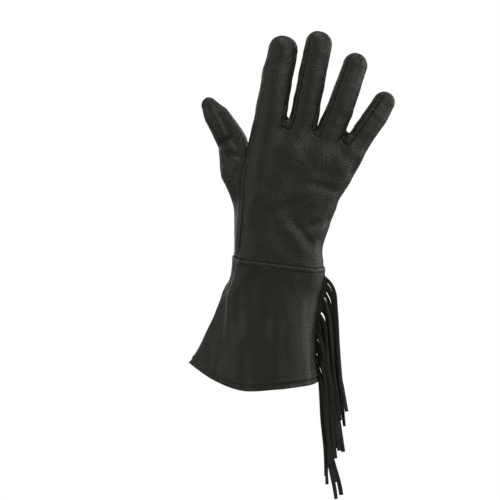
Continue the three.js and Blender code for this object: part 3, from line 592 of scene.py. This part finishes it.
# %% The folds, as seen in the photographed light
# The ends of each fold's line, x and z in mm as seen from the back, its depth and width, and then how high a
# roll stands beside it and how far off, positive to the right of the line from its first end.
FOLDS = np.array([
    # x0, z0, x1, z1, depth, width, roll, beside
    [-60, 109, -43, 119, 1.8, 2.8, 1.4, 6],
    [-52, 104, -34, 99.5, 1.6, 2.6, 0.8, -5],
    [-35.5, 100, -62, 152, 1.5, 3.2, 1, 5.5],
    [-55, 94, -42, 92, 0.7, 3, 0.3, -5],
    [75.5, 99, 68, 80, 2, 2.6, 1.2, -6],
    [10, 42, 34, 12, 1.6, 4.5, 1.2, 9],
    [52, 41, 22, 30, 1, 3.5, 0.8, -7],
    [30, 60, -12, 44, 0.8, 5, 0.6, 9],
    [58, 66, 30, 74, 0.8, 4, 0.5, 7],
    [-34, 60, -20, 76, 0.6, 4, 0.4, 7],
    [-40, -3, -38, 18, 0.8, 3, 0.4, 5],
    [-39.7, -58, -36, -98, 1.3, 5, 0.3, 11],
    [-45.3, -20, -42.4, -60, -1.4, 1.6, -0.8, 5],
    [57.5, 110, 64, 96, 1, 4, 0.4, 6],
    [-46, -24, -59, -80, 2.8, 3, 0.9, -6],
    [-8, -8, -14, -74, 1.8, 6, 1, 12],
    [24, -24, 10, -112, 1.3, 6, 0.8, -12],
])
# Where the filled glove swells or dips.
SWELLS = np.array([
    # x, y, z, radius, height
    [-73, 16, 137, 9, 1.4],
    [-61, 16, 153, 7, 1.2],
    [-47, 16, 140, 14, 1],
    [-35, 16, 121, 13, 3.6],
    [-53, 12, 84, 11, 2],
    [-43, 4, 52, 16, -2.2],
    [-42, 0, 18, 14, -0.5],
    [7.5, -7, 132, 4, -1.4],
    [37, -7, 122, 3.5, -0.8],
])


def folded(p, out):
    """The height that the folds on the back and the swells add."""
    height = np.zeros(len(p))
    facing = smooth(-out[:, 1], -0.2, 0.35)
    for x0, z0, x1, z1, depth, width, roll, beside in FOLDS:
        run = np.array([x1 - x0, z1 - z0])
        length = np.hypot(*run)
        run /= length
        along = ((p[:, 0] - x0) * run[0] + (p[:, 2] - z0) * run[1]) / length
        off = (p[:, 0] - x0) * run[1] - (p[:, 2] - z0) * run[0]
        ends = smooth(along, -0.15, 0.25) * (1 - smooth(along, 0.75, 1.15))
        height += facing * ends * (roll * bell(off - beside, 0.7 * abs(beside)) - depth * bell(off, width))
    for x, y, z, radius, most in SWELLS:
        height += most * bell(np.linalg.norm(p - [x, y, z], axis=1), radius)
    return height


print("folds:", len(FOLDS), "and swells:", len(SWELLS))


# %% Distances to the seams
def nearest(p, line, in_order=True):
    """How far each point lies from a line's points, worked out in blocks to save memory.

    Where the points follow each other, the middles between them count as well.
    """
    if in_order:
        line = np.vstack([line, (line[1:] + line[:-1]) / 2])
    line = line.astype(np.float32)
    reach = np.empty(len(p))
    for start in range(0, len(p), 4000):
        block = p[start : start + 4000].astype(np.float32)
        square = (block**2).sum(1)[:, None] + (line**2).sum(1)[None] - 2 * block @ line.T
        reach[start : start + 4000] = np.sqrt(np.maximum(square.min(1), 0))
    return reach


TIPS = np.array([sheet[-1, 0] for sheet in (*backs, thumb_outer)])
GROOVE_DEPTH, GROOVE_WIDTH = 0.6, 0.8
ROLL_HEIGHT, ROLL_WIDTH, ROLL_PLACE = 0.25, 1.3, 2.2
PUCKER_HEIGHT, PUCKER_SIZE, PUCKER_REACH = 0.2, 4.2, 4.0


def seam_strength(p):
    """How strongly the seams show: less at the tips, wrist and thumb's crotch, and not low on the gusset."""
    tips = np.linalg.norm(p[:, None] - TIPS[None], axis=2).min(1)
    gusset = (p[:, 0] < -38) * smooth(-p[:, 2], 30, 60)
    crotch = smooth(-p[:, 0], 28, 36) * smooth(p[:, 2], 100, 110)
    strength = (0.3 + 0.7 * smooth(tips, 4, 14)) * (1 - gusset)
    return strength * (1 - 0.7 * bell(p[:, 2], 14)) * (1 - 0.7 * crotch)


def relief(p, out, seam, cloth_waves):
    """The whole height: seams with their rolls and puckers, folds, soft lumps and creases."""
    d = nearest(p, seam, in_order=False)
    sewn = seam_strength(p)
    groove = GROOVE_DEPTH * np.maximum(sewn, 0.8 * bell(p[:, 2], 14)) * bell(d, GROOVE_WIDTH)
    roll = ROLL_HEIGHT * sewn * bell(d - ROLL_PLACE, ROLL_WIDTH)
    puckers = PUCKER_HEIGHT * waves(p, PUCKER_SIZE, 5) * np.exp(-d / PUCKER_REACH) * sewn * (1 - bell(d, 1.0))
    return roll - groove + puckers + cloth_waves(p) + folded(p, out)


def hand_waves(p):
    """Soft lumps of a filled hand and the crossing creases of worn deerskin."""
    creases = bell(waves(p, 9, 21, (1.6, 1, 0.6)), 0.16) + 0.6 * bell(waves(p, 6, 22, (1.3, 1, 0.8)), 0.2)
    return 0.75 * waves(p, 32, 11) + 0.15 * waves(p, 12, 12) - 0.06 * creases


def cuff_waves(p):
    """Long soft folds down a cuff, with a few lumps, that grow out of the hand's own within 20 mm."""
    own = smooth(wrist_plane(p[:, 0], p[:, 1]) - p[:, 2], 0, 20)
    folds = 0.8 * waves(p, 36, 31, (0.8, 1, 4)) + 0.4 * waves(p, 15, 32, (1, 1, 3)) + 0.05 * waves(p, 6, 33)
    return hand_waves(p) * (1 - own) + folds * own


print("seam grooves are", GROOVE_DEPTH, "mm deep")


# %% [markdown]
# ## From grids to leather
# Grids that share an edge are joined into one panel. The relief lifts the panel's points, and Blender's
# Solidify modifier then adds the leather's thickness on the inside.


# %% Meshes from arrays
def clean_object(name, points, triangles):
    """A smooth mesh object from arrays of points in mm and three-cornered faces."""
    mesh = bpy.data.meshes.new(name)
    mesh.from_pydata((np.asarray(points) * MM).astype(np.float32), [], np.asarray(triangles))
    mesh.shade_smooth()
    mesh.validate()
    obj = bpy.data.objects.new(name, mesh)
    bpy.context.scene.collection.objects.link(obj)
    return obj


def weld(grids):
    """Joins grids that share edges: points, triangles, and each point's first place in the grids."""
    quads, start = [], 0
    for grid in grids:
        n = np.arange(grid.shape[0] * grid.shape[1]).reshape(grid.shape[:2]) + start
        quads.append(np.stack([n[:-1, :-1], n[:-1, 1:], n[1:, 1:], n[1:, :-1]], -1).reshape(-1, 4))
        start += n.size
    points = np.concatenate([grid.reshape(-1, 3) for grid in grids])
    _, first, number = np.unique(points.round(4), axis=0, return_index=True, return_inverse=True)
    quads = number.ravel()[np.concatenate(quads)]
    triangles = np.concatenate([quads[:, [0, 1, 2]], quads[:, [0, 2, 3]]])
    a, b, c = triangles.T
    return points[first], triangles[(a != b) & (b != c) & (c != a)], first


def border(points, triangles):
    """The points of the edges that only one triangle has, as one row for each edge's end."""
    edges = np.concatenate([triangles[:, [0, 1]], triangles[:, [1, 2]], triangles[:, [2, 0]]])
    _, first, count = np.unique(np.sort(edges, 1), axis=0, return_index=True, return_counts=True)
    return edges[first[count == 1]]


def panel(name, grids, outs, cloth_waves, extra=None, hem=None):
    """One leather panel: welded grids, raised by the relief, with the leather's thickness inside."""
    points, triangles, first = weld(grids)
    out = np.concatenate([out.reshape(-1, 3) for out in outs])[first]
    corners = points[triangles]
    facing = np.cross(corners[:, 1] - corners[:, 0], corners[:, 2] - corners[:, 0])
    if (facing * out[triangles[:, 0]]).sum() < 0:
        triangles = triangles[:, ::-1]
    edges = border(points, triangles)
    if hem is not None:
        edges = edges[~(hem(points[edges[:, 0]]) & hem(points[edges[:, 1]]))]
    seam = np.concatenate([points[edges[:, 0]], points[edges].mean(1)])
    height = relief(points, out, seam, cloth_waves)
    if extra is not None:
        height += extra(points)
    obj = clean_object(name, points + out * height[:, None], triangles)
    solid = obj.modifiers.new("leather thickness", "SOLIDIFY")
    solid.thickness, solid.offset = LEATHER * MM, -1
    print(name, len(points), "points", len(triangles), "triangles")
    return obj


def hand_outward(p):
    """The way out of the hand's leather: the field's slope made one long."""
    return unit(slope(p))


# %% [markdown]
# The thumb seam of this glove is sewn twice: the thumb piece meets the back in one seam, and a line of
# stitches runs about 4 mm beside it, with a narrow flat strip between the two. The foot of each fourchette
# has a sunk line as well, where its turned edge ends.

# %% The hand's leather
THUMB_ROW, FOOT_ROW = 4.2, 2.8


def sunk_line(seam, distance, depth, width):
    """A function of points: minus the depth times a bell over their distance from the line beside a seam."""
    return lambda p: -depth * bell(nearest(p, seam) - distance, width)


def hand_panel(name, grids, extra=None):
    """A panel of the hand. The way out of its big sheet is relaxed like the sheet itself."""
    outs = [hand_outward(grid) for grid in grids]
    if len(grids) > 2:
        outs[0] = unit(relax(outs[0]))
    return panel(name, grids, outs, hand_waves, extra)


second_row = sunk_line(back_thumb, THUMB_ROW, 0.45, 0.8)
pieces = {
    "back_panel": hand_panel("back_leather", [back_hand, *backs], second_row),
    "palm_panel": hand_panel("palm_leather", [palm_hand, fronts[0], fronts[3], tongue_base, thumb_inner]),
    "finger_front_middle": hand_panel("middle_finger_front", [fronts[1]]),
    "finger_front_ring": hand_panel("ring_finger_front", [fronts[2]]),
    "thumb_piece": hand_panel("thumb_leather", [thumb_root, thumb_outer]),
}
for name, grid, foot in zip(("index_middle", "middle_ring", "ring_little"), fourchettes, back_crotches):
    turned_edge = sunk_line(foot, FOOT_ROW, 0.8, 0.9)
    pieces[f"fourchette_{name}"] = hand_panel(f"fourchette_strip_{name}", [grid], turned_edge)

# %% The cuff's leather
# The way out of the cuff is square to the lines round it and down it, and starts as the hand's own at the
# wrist.
around = np.roll(cuff[:, :-1], -1, 1) - np.roll(cuff[:, :-1], 1, 1)
around = np.concatenate([around, around[:, :1]], 1)
cuff_out = unit(np.cross(around, -np.gradient(cuff, axis=0)))
start = 1 - smooth(at, 0, 0.06)[:, None, None]
cuff_out = unit(hand_outward(cuff[:1].repeat(len(cuff), 0)) * start + cuff_out * (1 - start))
print("cuff faces out at the middle of its back:", cuff_out[60, 60].round(2))


HEM_WIDTH = 6.8


def at_hem(p):
    """Whether points lie on the hem, the last row of the cuff."""
    return nearest(p, cuff[-1]) < 0.05


def hem_line(p):
    """The turned hem: a band that stands a little proud, with a sunk stitch line above and a soft edge."""
    d = nearest(p, cuff[-1])
    band = 0.5 * (1 - smooth(d, HEM_WIDTH - 2, HEM_WIDTH))
    return band - 0.5 * bell(d - HEM_WIDTH, 0.9) - 0.6 * bell(d, 1.0)


for node, first, last in (
    ("cuff_back", 0, BACK_VALLEY),
    ("cuff_gusset", BACK_VALLEY, PALM_VALLEY),
    ("cuff_palm", PALM_VALLEY, cuff.shape[1] - 1),
):
    grid, outs = cuff[:, first : last + 1], cuff_out[:, first : last + 1]
    pieces[node] = panel(f"{node}_leather", [grid], [outs], cuff_waves, hem_line, at_hem)

# %% [markdown]
# ## The fringe
# One strip of leather, cut into narrow tails, is sewn into the cuff's outer seam by its head. Gravity shapes
# the rest: each tail springs out of the seam, bends down and lies on those below it. Cut leather also twists,
# so no two tails look alike.

# %% Where the tails hang
FRINGE_TOP, FRINGE_BOTTOM = 0.1, 0.97
SPRING_TOP, SPRING_LOW, SPRING_DROP = 9.0, 0.6, 9.0
STACK, LEAN, HANG, LOW_LENGTH = 0.33, 0.12, 0.94, 0.88
# For each tail from the top: how far its root is pushed up, how far it bows out below the root, its share of
# the usual length and how far its end curls out, all but the share in mm. The tails cling together in
# bundles, and light falls through between two bundles.
TAILS = np.array([
    [0.8, 1.2, 1, 0], [0, 0, 1.08, -1], [1.2, 1.4, 0.96, -1], [0.7, 0.4, 0.95, 0],
    [-0.3, 0, 0.95, 0], [0, 0, 1.17, 2], [0.8, 1, 1.11, 1], [1.6, 3, 1.12, 0],
    [-0.6, 0.8, 1.07, 1], [0, 0.4, 0.96, 2], [0, -0.2, 1, 0], [-0.4, 0, 0.97, 1],
    [-0.2, 0.5, 1.02, 0], [1, 1.9, 0.97, -1], [-1.1, -0.8, 0.95, 1], [-0.5, 0.2, 1.01, 0],
    [0.4, 2, 0.96, -2], [2.4, 3.4, 0.96, 0], [-0.4, 2.4, 0.92, -2], [-1.9, -1, 1, 5],
    [-1.6, -1.6, 1.07, 11], [0, -0.3, 0.97, -2], [0, 0, 1.06, 7], [0, 0, 0.84, -2],
])
LAYERS, LAYER_STEP = np.array([0, 2, 1, 3]), 3.4
HEAD_INSIDE, HEAD_OUTSIDE = 5.0, 1.5
head_line = cuff[:, 0]
print("the fringe's seam is", round(float(np.linalg.norm(head_line[-1] - head_line[0]))), "mm long")


def tail_centre(n, drop, draw):
    """The middle of tail n at drops in mm below its root.

    Out from the seam come the spring, one less exp of minus the drop, the stack of tails below, the lean
    below the hem, the tail's own bow and curl, and a slow swing.
    """
    share = n / (STRIP_COUNT - 1)
    push, bow, _, curl = TAILS[n]
    root = even_steps(head_line[::8], [FRINGE_TOP + (FRINGE_BOTTOM - FRINGE_TOP) * share])[0]
    z = root[2] + push - drop
    wrist_z, hem_z = head_line[0, 2], head_line[-1, 2]
    wall = np.interp(-z, -head_line[:, 2], head_line[:, 0])
    spring = (SPRING_TOP + (SPRING_LOW - SPRING_TOP) * share) * (1 - np.exp(-drop / SPRING_DROP))
    stack = STACK * np.minimum(drop / ((wrist_z - hem_z) / STRIP_COUNT), STRIP_COUNT - 1 - n)
    lean = LEAN * np.maximum(hem_z - z, 0) * (1 - 0.45 * share)
    layer = (LAYERS[n % 4] - 1.5) * LAYER_STEP * smooth(drop, 0, 18)
    loose = smooth(drop, 14, 70)
    phase, swing = draw.uniform(0, 2 * np.pi, 2), draw.uniform(0.3, 1.0, 2)
    x = np.maximum(root[0], wall) + HEAD_OUTSIDE + spring + stack + lean + bow * bell(drop - 12, 11)
    x = x + loose * swing[0] * np.sin(drop / 21 + phase[0]) + curl * smooth(drop, 50, 125) ** 1.5
    y = layer + loose * swing[1] * np.sin(drop / 14 + phase[1])
    return np.stack([x, y, z], -1)


def tail(n):
    """One tail: a rounded flat section carried along the tail's line and turned by its twist."""
    draw = np.random.default_rng(400 + n)
    share = n / (STRIP_COUNT - 1)
    length = STRIP_LENGTH * HANG * (1 + (LOW_LENGTH - 1) * share) * TAILS[n, 2]
    drop = length * np.linspace(0, 1, 91) ** 1.35
    line = tail_centre(n, drop, draw)
    ahead = unit(np.gradient(line, axis=0))
    turn = smooth(drop, 0, 4)[:, None]
    wide = unit(np.cross(ahead, [0.0, 1, 0]) * turn + np.array([0.0, 0, 1]) * (1 - turn))
    thick = np.cross(ahead, wide)
    twist = np.radians(draw.uniform(-55, 55)) * smooth(drop, 4, length) + 0.3 * np.sin(drop / 23 + n)
    turned = wide * np.cos(twist)[:, None] + thick * np.sin(twist)[:, None]
    thick = np.cross(ahead, turned)
    half = STRIP_WIDTH / 2 * draw.uniform(0.8, 1.0) * (1 + 0.08 * np.sin(drop / 9 + n))
    ring = np.array([[-1, -0.55], [-0.85, -1], [0, -1.08], [0.85, -1], [1, -0.55]])
    ring = np.vstack([ring, ring[::-1] * [1, -1]])
    section = turned[:, None] * (ring[None, :, :1] * half[:, None, None])
    section = section + thick[:, None] * (ring[None, :, 1:] * STRIP_LEATHER / 2)
    return line[:, None] + section


def tube(grid):
    """Points and triangles of a closed tube from rings of points, with a flat cap on both ends."""
    rows, sides = grid.shape[:2]
    n = np.arange(rows * sides).reshape(rows, sides)
    a, b = n[:-1], np.roll(n, -1, 1)[:-1]
    c, d = np.roll(n, -1, 1)[1:], n[1:]
    walls = np.concatenate([np.stack([a, b, c], -1), np.stack([a, c, d], -1)]).reshape(-1, 3)
    fan = np.stack([np.zeros(sides - 2, int), np.arange(1, sides - 1), np.arange(2, sides)], -1)
    last = n[-1][fan]
    triangles = np.concatenate([walls, n[0][fan][:, ::-1], last])
    points = grid.reshape(-1, 3)
    corners = points[triangles]
    volume = (np.cross(corners[:, 0], corners[:, 1]) * corners[:, 2]).sum()
    return points, triangles if volume > 0 else triangles[:, ::-1]


def together(parts):
    """Several sets of points and triangles as one."""
    points, triangles = zip(*parts)
    starts = np.cumsum([0, *map(len, points)])
    return np.concatenate(points), np.concatenate([part + start for part, start in zip(triangles, starts)])


# %% The fringe's head and tails
# The head's section has six corners. The outer two reach further out below the wrist, where the tails part
# late.
line = even_steps(head_line[::8], np.linspace(0.01, 0.99, 60))
half = STRIP_LEATHER / 2
head = np.repeat(line[:, None], 6, 1)
head[:, :, 0] += [-HEAD_INSIDE, HEAD_OUTSIDE, 0, 0, HEAD_OUTSIDE, -HEAD_INSIDE]
head[:, :, 1] += [half, half, 0.4, -half, -half, -half]
reach = np.interp(np.linspace(0, 1, len(line)), [0, 0.06, 0.14, 0.5, 1], [1.5, 1.5, 6.0, 3.5, 1.5])[:, None]
head[:, 2:4, 0] = line[:, :1] + reach
head[:, 2:4, 2] -= 0.35 * reach
fringe_points, fringe_triangles = together([tube(head), *(tube(tail(n)) for n in range(STRIP_COUNT))])
pieces["fringe"] = clean_object("fringe_leather_tails", fringe_points, fringe_triangles)
print("fringe:", len(fringe_triangles), "triangles")


# %% [markdown]
# ## Stitches
# The thread shows as short dashes, each sunk at both ends where it dives into the leather. One dash is a tiny
# tube with few faces, because it is repeated hundreds of times.


# %% Rows of stitches
THREAD_RADIUS, STITCH = 0.38, 3.0


def stitches(line, out, lift, share):
    """Dashes along a line: short tubes, a share of a stitch long, each an arch sunk at both ends."""
    travel = np.concatenate([[0], np.cumsum(np.linalg.norm(np.diff(line, axis=0), axis=1))])
    middles = (np.arange(int(travel[-1] / STITCH)) + 0.5) * STITCH
    where = middles[:, None] + np.array([-0.5, -0.3, 0, 0.3, 0.5]) * STITCH * share
    path = np.stack([np.interp(where, travel, line[:, i]) for i in range(3)], -1)
    normal = np.stack([np.interp(where, travel, out[:, i]) for i in range(3)], -1)
    side = np.cross(unit(np.gradient(path, axis=1)), normal)
    rise = lift * np.array([-1.0, 0.6, 1.0, 0.6, -1.0])
    turn = np.linspace(0, 2 * np.pi, 6, endpoint=False)
    ring = side[:, :, None] * np.cos(turn)[:, None] + normal[:, :, None] * np.sin(turn)[:, None] * 0.8
    grid = (path + normal * rise[None, :, None])[:, :, None] + THREAD_RADIUS * ring
    return together([tube(one) for one in grid])


print("thread", 2 * THREAD_RADIUS, "mm thick, with a stitch every", STITCH, "mm")


# %% The hem's and the thumb seam's thread
def raised(line, out, cloth_waves, depth):
    """A line's points raised by the soft lumps and folds, and by a depth of their own."""
    return line + out * (cloth_waves(line) + folded(line, out) + depth)[:, None]


hem_drop = np.linalg.norm(cuff - cuff[-1:], axis=2)
hem_row = np.argmin(np.abs(hem_drop - HEM_WIDTH), axis=0), np.arange(cuff.shape[1])
hem_out = cuff_out[hem_row]
hem_stitches = raised(cuff[hem_row], hem_out, cuff_waves, -0.25)
rows = []
for first, last in (4, BACK_VALLEY - 2), (BACK_VALLEY + 2, PALM_VALLEY - 2), (PALM_VALLEY + 2, -5):
    rows.append(stitches(hem_stitches[first:last], hem_out[first:last], 0.28, 0.64))
across = np.cross(hand_outward(back_thumb), unit(np.gradient(back_thumb, axis=0)))
across *= np.sign(across[:, :1])
thumb_row = on_skin(back_thumb + THUMB_ROW * across)
thumb_out = hand_outward(thumb_row)
thumb_stitches = raised(thumb_row, thumb_out, hand_waves, -0.3)
rows.append(stitches(thumb_stitches[4:-3], thumb_out[4:-3], 0.1, 0.9))
thread_points, thread_triangles = together(rows)
thread = clean_object("sewing_thread", thread_points, thread_triangles)
print("thread:", len(thread_triangles), "triangles")

# %% [markdown]
# ## Finishes
# Black deerskin is soft and open, with round pebbles about 1 mm wide, drawn here a little coarser so that
# they show. Its dye is never a pure black, and its light wax gives broad, dull highlights, so the roughness
# sits around one half. The tails are cut from the same leather: duller and browner. The colours are turned
# from the usual sRGB numbers to the linear light that the shader works in.


# %% Small helpers for materials
def colour(code):
    """A linear colour from an sRGB code such as 2b2a28, by the sRGB curve."""
    values = np.array([int(code[i : i + 2], 16) for i in (0, 2, 4)]) / 255
    linear = np.where(values <= 0.04045, values / 12.92, ((values + 0.055) / 1.055) ** 2.4)
    return (*map(float, linear), 1.0)


def add(tree, kind, links=(), **settings):
    """Adds a shader node, sets its inputs and its own settings, and links (input, node, output) to it."""
    node = tree.nodes.new(f"ShaderNode{kind}")
    for key, value in settings.items():
        socket = key.replace("_", " ")
        if socket in node.inputs.keys():
            node.inputs[socket].default_value = value
        else:
            setattr(node, key, value)
    for target, source, output in links:
        tree.links.new(source.outputs[output], node.inputs[target])
    return node


def leather_finish(name, base, rough, pebble, height, ior=1.5):
    """Leather with pebbles of one size in mm and one height, over finer pores and wider soft patches."""
    material = bpy.data.materials.new(name)
    material.use_nodes = True
    tree = material.node_tree
    shader = tree.nodes["Principled BSDF"]
    place = add(tree, "TexCoord")
    wide = add(tree, "Mapping", [("Vector", place, "Object")], Scale=(0.75, 1.0, 1.2))
    cells = add(
        tree, "TexVoronoi", [("Vector", wide, "Vector")],
        feature="SMOOTH_F1", Scale=1 / (pebble * MM), Smoothness=0.3, Randomness=0.9,
    )
    pores = add(tree, "TexNoise", [("Vector", place, "Object")], Scale=1 / (0.35 * pebble * MM), Detail=3.0)
    patches = add(tree, "TexNoise", [("Vector", place, "Object")], Scale=1 / (26 * MM), Detail=4.0)
    grain = add(tree, "Math", [(0, cells, "Distance")], operation="MULTIPLY")
    grain.inputs[1].default_value = -1.0
    mixed = add(tree, "Math", [(0, pores, "Fac"), (2, grain, "Value")], operation="MULTIPLY_ADD")
    mixed.inputs[1].default_value = 0.35
    bump = add(tree, "Bump", [("Height", mixed, "Value")], Strength=1.0, Distance=height * MM)
    gloss = add(tree, "MapRange", [("Value", patches, "Fac")], To_Min=rough - 0.07, To_Max=rough + 0.07)
    tree.links.new(bump.outputs["Normal"], shader.inputs["Normal"])
    tree.links.new(gloss.outputs["Result"], shader.inputs["Roughness"])
    shader.inputs["Base Color"].default_value = colour(base)
    shader.inputs["IOR"].default_value = ior
    return material


deerskin = leather_finish("black deerskin", "1d1c12", 0.46, 1.5, 0.36)
cuff_deerskin = leather_finish("smooth black deerskin", "1d1c12", 0.46, 1.2, 0.26)
raw_deerskin = leather_finish("cut deerskin", "1e1c15", 0.65, 0.8, 0.12)
linen_thread = leather_finish("waxed thread", "131210", 0.6, 0.3, 0.03, 1.4)
print("materials:", deerskin.name, raw_deerskin.name, linen_thread.name)

# %% [markdown]
# ## Into the frame
# Each piece rides on the glove's only body and stands for its solid.

# %% Pieces, materials and solids
for node, obj in pieces.items():
    fringe = node == "fringe"
    leather = cuff_deerskin if node.startswith("cuff") else deerskin
    obj.data.materials.append(raw_deerskin if fringe else leather)
    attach(obj, "root")
    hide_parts(node)
thread.data.materials.append(linen_thread)
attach(thread, "root")
print(len(pieces) + 1, "pieces ride on the root")

# %% [markdown]
# ## Light and camera
# The picture has a white ground and very soft light from the front and above, so the camera sees plain white
# paper all round, while the glove is lit by a dimmer room and by soft boxes. Two faint ones stand behind it
# and draw light rims on its edges. A long lens from far off keeps the outline free of perspective.

# %% Ground and lights
world = bpy.context.scene.world or bpy.data.worlds.new("studio")
bpy.context.scene.world = world
world.use_nodes = True
tree = world.node_tree
dim = tree.nodes["Background"]
dim.inputs["Color"].default_value = (1, 0.98, 0.92, 1)
dim.inputs["Strength"].default_value = 0.28
path = add(tree, "LightPath")
paper = add(tree, "Background", Color=(1, 1, 1, 1), Strength=1.0)
links = [(0, path, "Is Camera Ray"), (1, dim, "Background"), (2, paper, "Background")]
choice = add(tree, "MixShader", links)
tree.links.new(choice.outputs["Shader"], tree.nodes["World Output"].inputs["Surface"])


def aimed(obj, place, target):
    """Puts a light or camera in place, in metres, and turns it to look at a target."""
    back = unit(np.array(place, float) - np.array(target, float))
    side = unit(np.cross([0, 0, 1], back))
    up = np.cross(back, side)
    matrix = np.eye(4)
    matrix[:3, 0], matrix[:3, 1], matrix[:3, 2], matrix[:3, 3] = side, up, back, place
    obj.matrix_world = Matrix(matrix.tolist())
    bpy.context.scene.collection.objects.link(obj)
    return obj


for name, place, size, power in (
    ("key", (0.9, -1.1, 0.8), 0.5, 5.5),
    ("fill", (-1.35, -0.8, 0.4), 0.8, 3.8),
    ("top", (0.1, -0.1, 1.5), 0.6, 5),
    ("right_side", (1.3, 0.1, 0.1), 0.6, 4.5),
    ("right_back", (1.0, 0.9, 0.6), 0.6, 4),
    ("left_back", (-0.9, 1.1, 0.4), 0.9, 2.5),
):
    light = bpy.data.lights.new(name, "AREA")
    light.shape, light.size, light.energy = "SQUARE", size, power
    aimed(bpy.data.objects.new(name, light), place, (0, 0, 0))

camera = bpy.data.cameras.new("camera")
camera.lens, camera.sensor_width = 189.5, 36
camera.clip_end = 20
middle = (-27.1 * MM, 0, 11.4 * MM)
bpy.context.scene.camera = aimed(bpy.data.objects.new("camera", camera), (middle[0], -2.5, middle[2]), middle)
bpy.context.scene.view_settings.view_transform = "Standard"
print("camera looks along +Y from 2.5 m")
